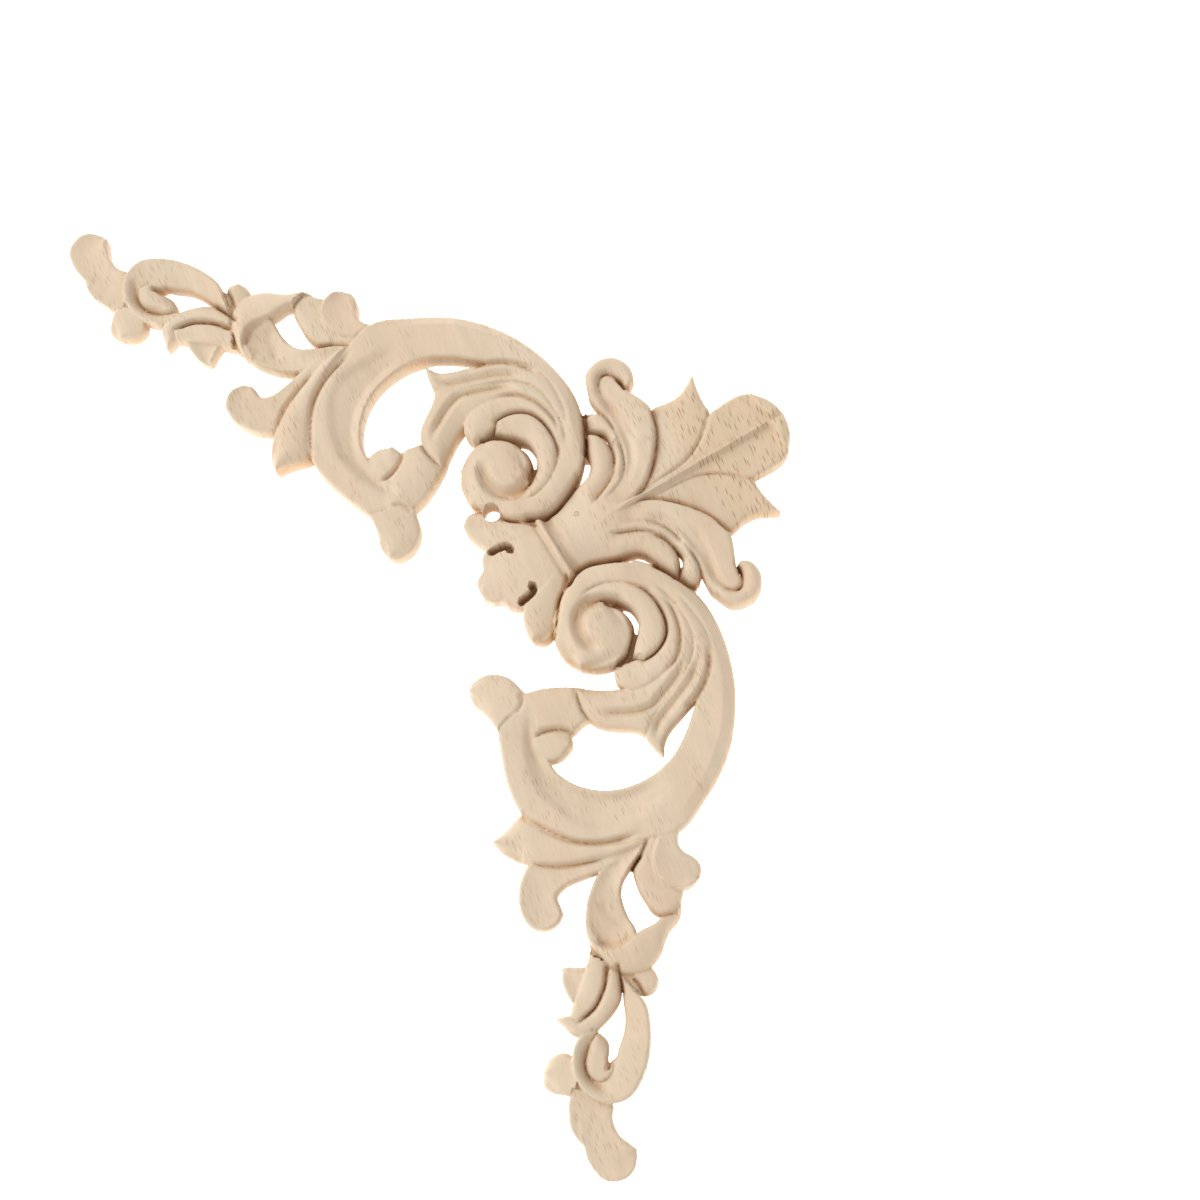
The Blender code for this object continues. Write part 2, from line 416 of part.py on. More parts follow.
def creases():
    """The cuts that part the leaves and flute them."""
    return [
        gouge([(-79.6, 91), (-78.9, 87.4), (-77.2, 84.4), (-74.3, 82.8), (-71, 83), (-69, 84)], 1.5, 1.2),
        gouge([(-75, 88.8), (-73, 88.5), (-71.6, 88.3)], 0.9, 1.6, end=False),
        gouge([(-51.6, 82.5), (-55.4, 83.1), (-58.6, 82.8), (-61.3, 82.1), (-63.4, 80.8),
               (-65.8, 78.9)], 0.9, 1.9,
              start=False),
        gouge([(-50.5, 85), (-54, 86.6), (-57.5, 88)], 0.9, 1.6, start=False),
        gouge([(-55.6, 92.6), (-53.4, 90.6), (-52.3, 88.6)], 0.9, 1.6, start=False),
        gouge([(-46, 78), (-46.6, 81.4), (-45.4, 84.4), (-42.6, 86.8)], 1.2, 0.5),
        gouge([(-41.5, 86), (-39.6, 81), (-36.5, 77)], 2.2, 0.4, tool="round"),
        gouge([(-27.8, 82.5), (-25.8, 83.3), (-23.4, 84.2)], 0.7, 2.2, start=False),
        gouge([(-26.2, 76.6), (-28.3, 72.5), (-30.1, 68.7), (-31.5, 64.6),
               (-32.2, 58.5)], 1.1, 0.9),
        gouge([(-18.2, 84), (-20, 80.7), (-22.2, 76.8), (-23.8, 72.4), (-24.4, 67.5), (-23.4, 61),
               (-21.2, 54.2)], 1.2,
              1.4, end=False),
        gouge([(-2.6, 51.6), (-0.6, 53.4), (0.8, 56), (1.4, 58.2), (1.2, 60.6)], 1.0, 1.2, end=False),
        gouge([(2.2, 46.2), (5.4, 46.9), (8.2, 45.6)], 1.0, 0.7),
        gouge([(-17, 91.4), (-7, 95.6), (0, 97.8), (9, 98.7), (21, 96.7), (32, 91.5), (40.6, 84),
               (45.4, 74), (46.4, 65)],
              2.9, 1.5, tool="bevel"),
        gouge([(4.6, 64.4), (6.4, 62), (9, 60.2), (11.8, 59)], 0.9, 0.5, start=False),
        gouge([(14.2, 86.6), (17.9, 88.3), (20.5, 89), (23.3, 89.2), (26.2, 88.9),
               (30, 87.7)], 1.1, 1.3, start=False),
        gouge([(3.2, 81.6), (5.9, 80.6), (8.6, 80.6), (12.4, 82.2), (16.2, 83.9), (20, 85.5),
               (24, 86.3), (27.5, 86.4)],
              1.8, 1.2),
        gouge([(8.3, 63.6), (7.8, 67.5), (8.5, 70.7), (9.4, 73.8), (10.6, 76.4), (12.1, 78.2),
               (15.1, 79.7), (18.3, 81.2), (22.1, 82.6), (26.5, 83.3)], 1.7, 1.4),
        gouge([(20, 78.6), (22.5, 80.2), (25.4, 81.1), (28.2, 81.1), (31.1, 80.4), (34.3, 78.8),
               (37.1, 76.6), (39.3, 74)],
              1.0, 1.1),
        gouge([(22.4, 73.4), (25.1, 75.8), (27.9, 77), (30.6, 77.2), (33.7, 76), (36.5, 73.8),
               (38.5, 71.4), (39.7, 68.8), (40.2, 64.2)], 1.0, 1.1, start=False),
        gouge([(23.1, 63.6), (22.7, 60.4), (23.8, 57.8), (26.5, 55.9), (29.9, 55.3), (32.8, 57),
               (34.4, 60), (34.9, 63.2)],
              2.4, 1.7, end=False, tool="round"),
        gouge([(20.4, 67.8), (23, 69.4), (26, 69.6), (29, 69.4), (31.6, 68.5), (33.8, 66.3),
               (34.7, 63.2)], 0.9, 4.2,
              start=False, end=False, tool="chisel"),
        gouge([(21.4, 69.4), (22.9, 71.6), (22.9, 73.6)], 0.9, 1.8, start=False),
        gouge([(22.6, 50.6), (29.2, 49.9), (32.1, 49.5), (35.4, 50.1),
               (37.9, 51.1)], 0.9, 2.4, False, False),
        gouge([(36.6, 50.8), (40.4, 52.1), (42.6, 54.3), (44.1, 57.4), (45.4, 60.8),
               (46.3, 64)], 1.1, 3.2, False, False),
        gouge([(46.2, 70.4), (45.4, 74), (44, 78.3), (43.3, 80.6)], 1.0, 3.0, False, False),
        gouge([(29.9, 40.4), (30.8, 41.1), (32.1, 42.1), (33.4, 42.6),
               (34.4, 41.9)], 1.0, 4.6, False, False, tool="chisel"),
        gouge([(38, 49.8), (40.6, 47.2), (43.9, 43.9)], 0.8, 0.5, False, False),
        gouge([(40.9, 52), (43.9, 49), (46.6, 46.6)], 1.7, 0.9, False, False, tool="round"),
        gouge([(58.4, 59.4), (62.2, 63.6), (63.4, 69.5), (63.3, 75.1), (62.4, 79.6), (60.9, 83.5),
               (59.4, 86.4)], 1.0, 1.1,
              end=False),
        gouge([(61.6, 63.8), (67.6, 69.9), (71.4, 75), (73.3, 80), (73.9, 84.4),
               (74, 88.6)], 1.0, 0.9, end=False),
        gouge([(56.2, 56.2), (88.2, 88.2)], 0.6, -0.9, False, False, tool="chisel"),
        gouge([(46, 90.5), (45.6, 88.2), (47.4, 85.6), (51, 83.2), (55.3, 80), (58.6, 75.8)], 1.5, 0.9),
        gouge([(45.6, 86.8), (51, 81.8), (54.8, 78), (57.8, 72), (58, 64)], 1.9, 0.8, tool="round"),
        gouge([(49, 91.6), (50.4, 90.8), (51.8, 89.6)], 0.8, 2.2, end=False),
        gouge([(45, 87.6), (44.9, 90.4), (46, 92), (48, 92.1), (49.8, 91.2)], 0.9, 0.8, end=False),
        gouge([(45.6, 82.6), (48.9, 81.1), (50.6, 79.6), (52.6, 77.4)], 0.9, 1.0, start=False),
        gouge([(44.6, 75.8), (47.8, 76.2), (50.3, 75.4), (52.1, 73.5), (53.6, 70.9),
               (54.2, 67)], 1.0, 1.1, start=False),
        gouge([(53, 76.4), (55, 73.8), (56.4, 70.4), (56.9, 65)], 0.9, 1.0),
    ]


def coil_slot():
    """The narrow opening that runs through the wood between the eye and the inner coil."""
    return form("coil_slot", [(29.2, 70), (31.4, 69.8), (33.5, 68.3), (34.6, 66.6), (34.9, 65)],
                [(29.4, 69.2), (31.2, 68.4), (32.8, 66.9), (33.7, 65.6), (34, 64.7)], (0, 0))


def small_hole():
    """The small hole between the claw and the volute, through one arm only."""
    centre, radii = (27.3, 50.1), (2.2, 2.2)
    return form("small_hole", arc(centre, radii, (250, 90)), arc(centre, radii, (-110, 90)), (0, 0))


def drawn_line(points):
    """A smooth line with points an even step apart."""
    rough = np.array(points, float)
    length = np.linalg.norm(np.diff(rough, axis=0), axis=1).sum()
    return spline(points, max(4, round(length / OUTLINE_STEP)))


def outline(piece):
    """The closed outline of a form, down one rail and back up the other."""
    return np.vstack([drawn_line(piece["left"]), drawn_line(piece["right"])[::-1]])


def eased(t):
    """A smooth step from 0 to 1."""
    t = np.clip(t, 0, 1)
    return t * t * (3 - 2 * t)


def beside(x, y, line):
    """Distance from points to a line, how far along it they lie (0 to 1), and on which side."""
    lengths = np.linalg.norm(np.diff(line, axis=0), axis=1)
    starts = np.concatenate([[0], np.cumsum(lengths)])
    nearest = np.full(x.shape, np.inf)
    along = np.zeros(x.shape)
    side = np.ones(x.shape)
    for (ax, ay), (bx, by), start, length in zip(line[:-1], line[1:], starts, lengths):
        if length == 0:
            continue
        ex, ey = bx - ax, by - ay
        t = np.clip(((x - ax) * ex + (y - ay) * ey) / length ** 2, 0, 1)
        distance = (x - ax - t * ex) ** 2 + (y - ay - t * ey) ** 2
        closer = distance < nearest
        nearest = np.where(closer, distance, nearest)
        along = np.where(closer, (start + t * length) / starts[-1], along)
        side = np.where(closer, np.sign(ex * (y - ay) - ey * (x - ax)), side)
    return np.sqrt(nearest), along, side


def within(x, y, closed):
    """Which points lie inside a closed outline."""
    inside = np.zeros(x.shape, bool)
    for (ax, ay), (bx, by) in zip(closed, np.roll(closed, -1, axis=0)):
        if ay != by:
            crossing = (ay > y) != (by > y)
            inside ^= crossing & (x < (bx - ax) * (y - ay) / (by - ay) + ax)
    return inside


def near(x, y, line, margin):
    """Which points lie in the box around a line."""
    low = line.min(axis=0) - margin
    high = line.max(axis=0) + margin
    return (x > low[0]) & (x < high[0]) & (y > low[1]) & (y < high[1])


def edge_fall(distance, radius, drop):
    """How far a rounded edge falls, at a distance inside it."""
    q = 1 - np.clip(distance / radius, 0, 1)
    return drop * (1 - np.sqrt(1 - q * q))


def form_height(piece, x, y):
    """Height of one form at points, their distance inside its rails, and its hold on them.

    The hold comes in two parts: across the rails, and along the form, where an open end fades.
    """
    left = spline(piece["left"], RAIL_STEPS)
    right = spline(piece["right"], RAIL_STEPS)
    spine = (left + right) / 2
    half = np.linalg.norm(left - right, axis=1) / 2
    steps = np.linspace(0, 1, RAIL_STEPS)
    offset, along, side = beside(x, y, spine)
    middle = RAIL_STEPS // 2
    forward = spine[middle + 1] - spine[middle - 1]
    across = right[middle] - spine[middle]
    turn = np.sign(forward[0] * across[1] - forward[1] * across[0])
    width = np.maximum(np.interp(along, steps, half), NARROWEST)
    u = np.clip(turn * side * offset / width, -1, 1)
    at_left, at_middle, at_right = (CARVING_DEPTH * rise for rise in piece["section"])
    height = np.interp(along, np.linspace(0, 1, len(piece["crest"])), piece["crest"])
    tilt = (at_right - at_left) / 2
    bow = (at_left + at_right) / 2 - at_middle
    height = height + at_middle + tilt * u + bow * u * u
    to_left, to_right = beside(x, y, left)[0], beside(x, y, right)[0]
    to_rail = np.minimum(to_left, to_right)
    to_rail = np.where(within(x, y, np.vstack([left, right[::-1]])), to_rail, -to_rail)
    reach = np.linalg.norm(np.diff(spine, axis=0), axis=1).sum() / piece["blend"]
    ends = np.ones(x.shape)
    if half[0] > OPEN_END:
        ends = ends * eased(along * reach)
    if half[-1] > OPEN_END:
        ends = ends * eased((1 - along) * reach)
    height = height - edge_fall(to_rail, EDGE_RADIUS, CARVING_DEPTH * piece["crease"])
    if piece["shoulder"]:
        height = height - edge_fall(to_left, *piece["shoulder"])
    sides = eased((to_rail + SOFTNESS) / (SOFTNESS + piece["melt"]))
    return height, to_rail, sides, ends


def cut_profile(tool, wall):
    """Depth of a cut, as a share of its full depth, from its edge (0) to its middle (1)."""
    if tool == "vee":
        return wall ** VEE_POWER
    if tool == "chisel":
        return eased(CHISEL_STEEPNESS * wall)
    if tool == "bevel":
        return wall
    return eased(wall)


def cut_gouges(x, y, height):
    """Take the creases out of the heights."""
    for cut in creases():
        line = spline(cut["points"], RAIL_STEPS)
        box = near(x, y, line, cut["width"])
        if not box.any():
            continue
        offset, along, _ = beside(x[box], y[box], line)
        wall = cut_profile(cut["tool"], np.clip(1 - offset / cut["width"], 0, 1))
        if cut["start"]:
            wall = wall * eased(along / FADE)
        if cut["end"]:
            wall = wall * eased((1 - along) / FADE)
        height[box] -= CARVING_DEPTH * cut["depth"] * wall


def relief(x, y):
    """Height of the carving at points of the half with y >= x, in drawing units."""
    height = np.full(x.shape, OUTSIDE_HEIGHT)
    covered = np.full(x.shape, -np.inf)
    low = np.ones(x.shape, bool)
    for piece in carving():
        box = near(x, y, outline(piece), NEAR_MARGIN)
        if not box.any():
            continue
        new, inside, sides, ends = form_height(piece, x[box], y[box])
        old = height[box]
        old_inside = covered[box]
        hold = sides * np.where(low[box], 1, ends)
        blended = old + (new - old) * hold
        first = np.where(inside > old_inside, new, old)
        height[box] = np.where(old_inside >= 0, blended, first)
        covered[box] = np.maximum(old_inside, inside)
        low[box] = np.where(inside >= 0, piece["ground"], low[box])
    height = height - edge_fall(np.maximum(covered, 0), EDGE_RADIUS, EDGE_DROP)
    cut_gouges(x, y, height)
    return np.clip(height, LOWEST, HIGHEST)


def wood_material():
    """Pale, unfinished rubberwood."""
    material = bpy.data.materials.new("rubberwood")
    material.use_nodes = True
    shader = material.node_tree.nodes["Principled BSDF"]
    shader.inputs["Base Color"].default_value = WOOD_COLOUR
    shader.inputs["Roughness"].default_value = WOOD_ROUGHNESS
    shader.inputs["Metallic"].default_value = 0.0
    return material


def new_collection(name):
    collection = bpy.data.collections.new(name)
    bpy.context.scene.collection.children.link(collection)
    return collection


def hide_as_cutter(obj):
    obj.hide_render = True
    obj.display_type = "WIRE"


def prism(name, closed, order, collection):
    """A flat outline extruded through the thickness of the wood, as a closed mesh."""
    top = (PRISM_TOP + PRISM_STAGGER * order) * RISE
    bottom = (PRISM_BOTTOM - PRISM_STAGGER * order) * RISE
    curve = bpy.data.curves.new(name, "CURVE")
    curve.dimensions = "2D"
    curve.fill_mode = "BOTH"
    curve.extrude = (top - bottom) / 2
    line = curve.splines.new("POLY")
    line.points.add(len(closed) - 1)
    for point, (x, y) in zip(line.points, closed):
        point.co = (x * UNIT, y * UNIT, 0, 1)
    line.use_cyclic_u = True
    drawn = bpy.data.objects.new(name + "_outline", curve)
    drawn.location.z = (top + bottom) / 2
    collection.objects.link(drawn)
    bpy.context.view_layer.update()
    graph = bpy.context.evaluated_depsgraph_get()
    mesh = bpy.data.meshes.new_from_object(drawn.evaluated_get(graph))
    obj = bpy.data.objects.new(name, mesh)
    obj.matrix_world = drawn.matrix_world
    collection.objects.link(obj)
    bpy.data.objects.remove(drawn)
    shell = bmesh.new()
    shell.from_mesh(mesh)
    bmesh.ops.remove_doubles(shell, verts=shell.verts, dist=WELD * UNIT)
    bmesh.ops.dissolve_degenerate(shell, edges=shell.edges, dist=WELD * UNIT)
    bmesh.ops.recalc_face_normals(shell, faces=shell.faces)
    shell.to_mesh(mesh)
    shell.free()
    hide_as_cutter(obj)
    return obj


def boolean(obj, name, operation, collection=None, other=None):
    modifier = obj.modifiers.new(name, "BOOLEAN")
    modifier.solver = "EXACT"
    modifier.operation = operation
    if collection:
        modifier.operand_type = "COLLECTION"
        modifier.collection = collection
    else:
        modifier.object = other
    return modifier


def silhouette():
    """The outline of the whole onlay as one prism: every form of both arms, united."""
    rest = new_collection("forms")
    slots = new_collection("slots")
    base = None
    order = 0
    for piece in carving():
        closed = outline(piece)
        for suffix, points in (("_a", closed), ("_b", closed[::-1, ::-1])):
            if base is None:
                base = prism(piece["name"] + suffix, points, order, slots)
            else:
                prism(piece["name"] + suffix, points, order, rest)
            order += 1
    boolean(base, "united forms", "UNION", collection=rest)
    opening = outline(coil_slot())
    cuts = (("coil_slot_a", opening), ("coil_slot_b", opening[::-1, ::-1]),
            ("small_hole", outline(small_hole())))
    for name, points in cuts:
        order += 1
        cutter = prism(name, points, order, slots)
        boolean(base, name, "DIFFERENCE", other=cutter)
    return base


def relief_slab(collection):
    """A square block whose top is the relief and whose bottom is the flat back."""
    cells = round(DRAWING_SIDE / GRID_STEP)
    mesh = bpy.data.meshes.new("relief")
    block = bmesh.new()
    bmesh.ops.create_grid(block, x_segments=cells, y_segments=cells, size=SIDE / 2 + GRID_STEP * UNIT)
    x = np.array([v.co.x for v in block.verts]) / UNIT
    y = np.array([v.co.y for v in block.verts]) / UNIT
    height = relief(np.minimum(x, y), np.maximum(x, y))
    for vertex, z in zip(block.verts, height):
        vertex.co.z = z * RISE
    rim = [edge for edge in block.edges if edge.is_boundary]
    made = bmesh.ops.extrude_edge_only(block, edges=rim)["geom"]
    for item in made:
        if isinstance(item, bmesh.types.BMVert):
            item.co.z = 0
    lower = [item for item in made if isinstance(item, bmesh.types.BMEdge) and item.is_boundary]
    bmesh.ops.contextual_create(block, geom=lower)
    bmesh.ops.recalc_face_normals(block, faces=block.faces)
    block.to_mesh(mesh)
    block.free()
    obj = bpy.data.objects.new("corner_onlay", mesh)
    collection.objects.link(obj)
    return obj


def build():
    for obj in list(bpy.data.objects):
        bpy.data.objects.remove(obj)
    onlay_collection = new_collection("corner onlay")
    onlay = relief_slab(onlay_collection)
    onlay.data.materials.append(wood_material())
    boolean(onlay, "outline", "INTERSECT", other=silhouette())
    onlay.modifiers.new("triangles", "TRIANGULATE")
    thin = onlay.modifiers.new("fewer faces", "DECIMATE")
    thin.ratio = TRIANGLES_KEPT


build()
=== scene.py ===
"""Carved wooden corner onlay, in pale rubberwood, on a plain studio floor.

The onlay is drawn in units of a two-hundredth of its side, for the arm that runs to -X; the
other arm is its mirror image about the diagonal. Each leaf, lobe or band is a form between two
rails. The relief is the stack of the forms, later ones over earlier ones, with gouge cuts along
their creases, sampled on a fine grid and trimmed to the outline.
"""
import math

import bmesh
import bpy
import numpy as np
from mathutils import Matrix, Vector


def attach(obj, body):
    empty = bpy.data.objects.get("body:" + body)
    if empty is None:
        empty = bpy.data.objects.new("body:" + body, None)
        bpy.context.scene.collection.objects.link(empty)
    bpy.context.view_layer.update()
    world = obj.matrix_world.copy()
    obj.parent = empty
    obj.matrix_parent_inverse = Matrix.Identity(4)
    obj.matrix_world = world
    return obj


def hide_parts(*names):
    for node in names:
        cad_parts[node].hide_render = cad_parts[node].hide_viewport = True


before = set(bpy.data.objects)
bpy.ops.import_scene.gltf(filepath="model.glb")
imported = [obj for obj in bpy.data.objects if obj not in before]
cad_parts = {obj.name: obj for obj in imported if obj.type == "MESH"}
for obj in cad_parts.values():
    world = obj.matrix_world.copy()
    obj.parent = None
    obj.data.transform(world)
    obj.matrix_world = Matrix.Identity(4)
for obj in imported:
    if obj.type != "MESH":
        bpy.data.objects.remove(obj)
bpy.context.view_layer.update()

bl_info = {
    "name": "Carved corner onlay",
    "version": (1, 0, 0),
    "blender": (4, 5, 0),
    "location": "View3D > Sidebar > Onlay",
    "description": "Carves a corner onlay from pale wood, finishes it and sets it on a studio floor",
    "category": "Object",
}

SIDE = 0.200
DRAWING_SIDE = 200.0
UNIT = SIDE / DRAWING_SIDE

# Samples along each rail, and along each span of a smooth curve
RAIL_STEPS = 60
SPAN_STEPS = 13

# Keeps a division from failing where two points fall together
TINY = 1e-9

# Depth of the modelling and of the cuts, as a multiple of what the forms and gouges state
CARVING_DEPTH = 1.3

# Softness across an edge where forms meet, and the share of a gouge over which it fades out
SOFTNESS = 0.3
FADE = 0.22

# Shape of a vee cut's walls and of a chisel cut's walls
VEE_POWER = 1.4
CHISEL_STEEPNESS = 2.2

# A form whose end is wider than this, from its middle to a rail, counts as open there
OPEN_END = 1.0

# Least half width of a form, and how far outside its box a form's height is worked out
NARROWEST = 0.3
NEAR_MARGIN = 3.0

# How wide an edge is rounded, and how far the outer edge drops
EDGE_RADIUS = 0.8
EDGE_DROP = 0.5

# The lowest a cut may reach, the highest wood, and the height that stands in off the wood
LOWEST = 2.0
HIGHEST = 9.6
OUTSIDE_HEIGHT = 4.0

# How far the grid goes past the side, and how far past the outline the sanding still counts
GRID_MARGIN = 3
SANDING_MARGIN = 1.5

# How far a blur reaches, in spreads
BLUR_REACH = 2.5

# Spread of the look around a point for hollows, and the depth below it that counts as fully hollow; the
# hollowness sets the painted shade of the cuts
HOLLOW_SPREAD = 2.2
HOLLOW_DEPTH = 2.5

# How far around an opening its edge is worked out, and the distance that stands in beyond that
OPENING_MARGIN = 4.0
FAR_OUTSIDE = -9.0

# Least share of a grid line between a grid point and the outline, so that no sliver arises
SLIVER = 0.08

# Edges of the mesh that bend more than this stay sharp
SHARP_ANGLE = math.radians(50)

# Share of wood around a wall: about half where it stands open, nearly all inside a narrow hole; between the
# two, the wall's painted shade grows from none to full
OPEN_FILL = 0.58
NARROW_FILL = 0.88

# The back of the big scroll, which one of its cuts follows too
SCROLL_BACK = [(-7, 95.6), (0, 97.8), (9, 98.7), (21, 96.7), (32, 91.5), (40.6, 84), (45.4, 74)]

# The groove between the two strands of the leaflet
LEAFLET_GROOVE = [(-55.4, 83.1), (-58.6, 82.8), (-61.3, 82.1), (-63.4, 80.8)]

# The round end of the centre leaf
LEAF_END = (84.2, 84.2)
LEAF_END_RADII = (11.4, 11.4)

# The small hole of one arm
HOLE_PLACE = (27.3, 50.1)
HOLE_RADII = (2.2, 2.2)


def spline(points, count):
    """Even samples along a smooth curve that passes through the points."""
    p = np.array(points, float)
    ends = np.vstack([2 * p[0] - p[1], p, 2 * p[-1] - p[-2]])
    pieces = []
    for i in range(len(p) - 1):
        a, b, c, d = ends[i:i + 4]
        tb = math.sqrt(np.linalg.norm(b - a)) + TINY
        tc = tb + math.sqrt(np.linalg.norm(c - b)) + TINY
        td = tc + math.sqrt(np.linalg.norm(d - c)) + TINY
        t = np.linspace(tb, tc, SPAN_STEPS)[:-1, None]
        ab = (a * (tb - t) + b * t) / tb
        bc = (b * (tc - t) + c * (t - tb)) / (tc - tb)
        cd = (c * (td - t) + d * (t - tc)) / (td - tc)
        abc = (ab * (tc - t) + bc * t) / tc
        bcd = (bc * (td - t) + cd * (t - tb)) / (td - tb)
        pieces.append((abc * (tc - t) + bcd * (t - tb)) / (tc - tb))
    curve = np.vstack(pieces + [p[-1:]])
    length = np.concatenate([[0], np.cumsum(np.linalg.norm(np.diff(curve, axis=0), axis=1))])
    even = np.linspace(0, length[-1], count)
    return np.stack([np.interp(even, length, curve[:, k]) for k in (0, 1)], 1)


def flipped(points):
    """The same points on the other arm."""
    return [(y, x) for x, y in points]


def arc(centre, radii, angles, count=6):
    """Points along a round stretch; the radius may change from one end to the other."""
    points = []
    for i in range(count):
        t = i / (count - 1)
        radius = radii[0] + (radii[1] - radii[0]) * t
        angle = math.radians(angles[0] + (angles[1] - angles[0]) * t)
        points.append((centre[0] + radius * math.cos(angle), centre[1] + radius * math.sin(angle)))
    return points


def form(name, left, right, crest, section=(0, 0, 0), crease=1.0, blend=4.0, shoulder=None, melt=SOFTNESS):
    """A leaf, lobe or band between two rails, from root to tip.

    crest holds heights along it; section the rise at its left edge, middle and right edge;
    crease how far its edges fall away where it lies against another form; blend the length
    over which an open end melts into what lies under it; shoulder the width and drop of a
    broader fall along the left edge; melt how softly its edges meet the form below.
    """
    return dict(name=name, left=left, right=right, crest=crest, section=section, crease=crease, blend=blend,
                shoulder=shoulder, melt=melt, ground=False)


def patch(name, left, right, height):
    """Low wood between two lines. The open end of a form over it doesn't fade."""
    piece = form(name, left, right, (height, height))
    piece["ground"] = True
    return piece


def grounds():
    """Low wood under the joints of the carving, seen only at the bottom of its deepest cuts."""
    return [
        patch(
            "volute_ground",
            [(12, 84), (20, 89), (27, 91), (35, 86.5), (41, 77), (42.5, 66), (39, 55)],
            [(14, 78), (18, 74.5), (21, 70.5), (20.5, 64), (24, 56), (31, 53), (37, 54)], 6.0),
        patch(
            "flank_ground",
            [(42.5, 81), (43.5, 76), (44.5, 69.5)],
            [(46, 82), (48, 77), (47.5, 69.8)], 4.4),
        patch("stem_ground", [(35, 52), (41, 55), (45, 62)], [(40, 48), (46, 54), (49, 62)], 4.2),
        patch("claw_ground", [(24, 51.5), (30, 52.5), (37, 53)], [(24, 48.2), (30, 47.5), (37, 48)], 4.2),
        patch(
            "collar_ground",
            [(34, 51), (37.6, 51.4), (43, 47)],
            [(35.5, 47.4), (38.5, 46.6), (42, 43.4)], 5.4),
        patch("tip_ground", [(-82.6, 80.5), (-84, 85), (-84.5, 91)], [(-79, 80.5), (-79, 91)], 4.0),
        patch("loop_ground", [(-78, 89), (-78, 82)], [(-68.5, 85), (-67, 81)], 3.6),
        patch(
            "leaflet_ground",
            [(-57, 78.5), (-56.2, 86.5), (-55, 92)],
            [(-50, 78.5), (-50, 86.5), (-50, 93)], 4.2),
        patch("ribbon_ground", [(-50, 78), (-50, 86)], [(-44, 76.5), (-43, 87)], 4.0),
        patch("root_ground", [(-29, 84.4), (-24, 86)], [(-27, 81.5), (-22, 81)], 4.4),
    ]


def tip_leaf():
    """The low end leaf, with a hook at its top and a lobe below."""
    lobe = form(
        "tip_lobe",
        [(-80.5, 81.6), (-84.1, 81.4), (-87, 82.2), (-89.7, 83.3), (-91.6, 85.2), (-92.9, 87.2),
         (-94.2, 88.6)],
        [(-80.5, 91.7), (-86, 91), (-90, 90.8), (-94.2, 88.9)],
        (4.6, 4.6), (0, -0.3, 0), 0.0)
    hook = form(
        "tip_hook",
        [(-86, 84), (-92, 86.8), (-96.6, 89.8), (-99.2, 94.3), (-97.7, 98.5), (-95, 100), (-92, 99.9)],
        [(-82.5, 91.8), (-85.5, 92.3), (-88.4, 94.6), (-89.6, 97), (-90.5, 99.4)],
        (4.6, 4.7), (0.1, -0.4, 0.1), 0.0)
    side = form(
        "side_lobe",
        [(-82.7, 82), (-83, 77), (-82.2, 74.9), (-79, 73.7)],
        [(-74.6, 82), (-73.3, 77.4), (-75.6, 74.4), (-79, 73.7)],
        (5.2, 4.8, 4.2), (-0.4, 0.1, -0.4))
    return [lobe, hook, side]


def leaflet():
    """The two strands and the lobe between the loop and the folded ribbon leaf."""
    lobe = form(
        "leaflet_lobe",
        [(-62, 78.5), (-61.3, 76.2), (-57.5, 73), (-54.6, 72.2)],
        [(-52, 79), (-53.3, 75.5), (-53.6, 73.5), (-54.2, 72.3)],
        (5.0, 4.4), (0.2, -0.5, 0.2), 0.4)
    groove = [(-50.5, 82)] + LEAFLET_GROOVE + [(-65.8, 78.8)]
    lower = form(
        "leaflet_lower",
        [(-49.5, 77.7), (-55, 77.5), (-61, 76.8), (-66.4, 76.6)],
        [(x, y + 0.9) for x, y in groove],
        (5.9, 5.2), (-0.2, 0.2, -0.4), 0.6)
    upper = form(
        "leaflet_upper",
        [(-51, 85.6), (-55.1, 86.8), (-57.8, 87.4), (-60.9, 86.8), (-65, 84.7), (-68.6, 81.8),
         (-69, 78.5), (-67.4, 75.6), (-66.4, 73.6)],
        groove[:-1] + [(-65.5, 79), (-64.7, 76.5), (-65.9, 73.8)],
        (6.4, 6.2, 5.6, 5.0), (-0.7, 0.2, -0.2), 0.6)
    return [lobe, lower, upper]


def loop():
    """The small C-shaped loop with a raised rim and a curl inside it."""
    eye = form(
        "loop_eye",
        [(-71, 91.4), (-76.4, 90.6), (-79.3, 87.6), (-78.2, 83.8), (-73.6, 82.2), (-70, 82.8),
         (-66.4, 82.8)],
        [(-70, 90.6), (-72.2, 89), (-73, 88.3), (-72, 87.8), (-70.2, 87.6), (-68, 86.6), (-66.8, 84.4)],
        (4.6, 5.4, 5.6, 5.2, 4.6), (-0.3, 0.3, -0.5), 0.6, 2.0)
    band = form(
        "loop_band",
        [(-51.5, 85), (-52.9, 87), (-55.8, 91.5), (-58, 93.9), (-66, 96.8), (-74, 97), (-79.8, 94.8),
         (-82.2, 90), (-81, 84.8), (-78.2, 81.5), (-74.6, 79.8), (-70.8, 79.5), (-67.6, 81),
         (-66.4, 83.6)],
        [(-51.8, 85.3), (-53.3, 86.4), (-58.5, 88.3), (-62, 89.6), (-65.3, 90.1), (-69, 89.8),
         (-72.5, 89.8), (-76, 89.2), (-77.8, 87), (-76.8, 84.4), (-73.9, 82.9), (-70.8, 82.8),
         (-68.8, 83.4), (-67.2, 84)],
        (6.4, 6.6, 6.4, 6.4, 6.2, 5.8, 5), (0.4, -0.2, -1.1), 0.5)
    return [eye, band]


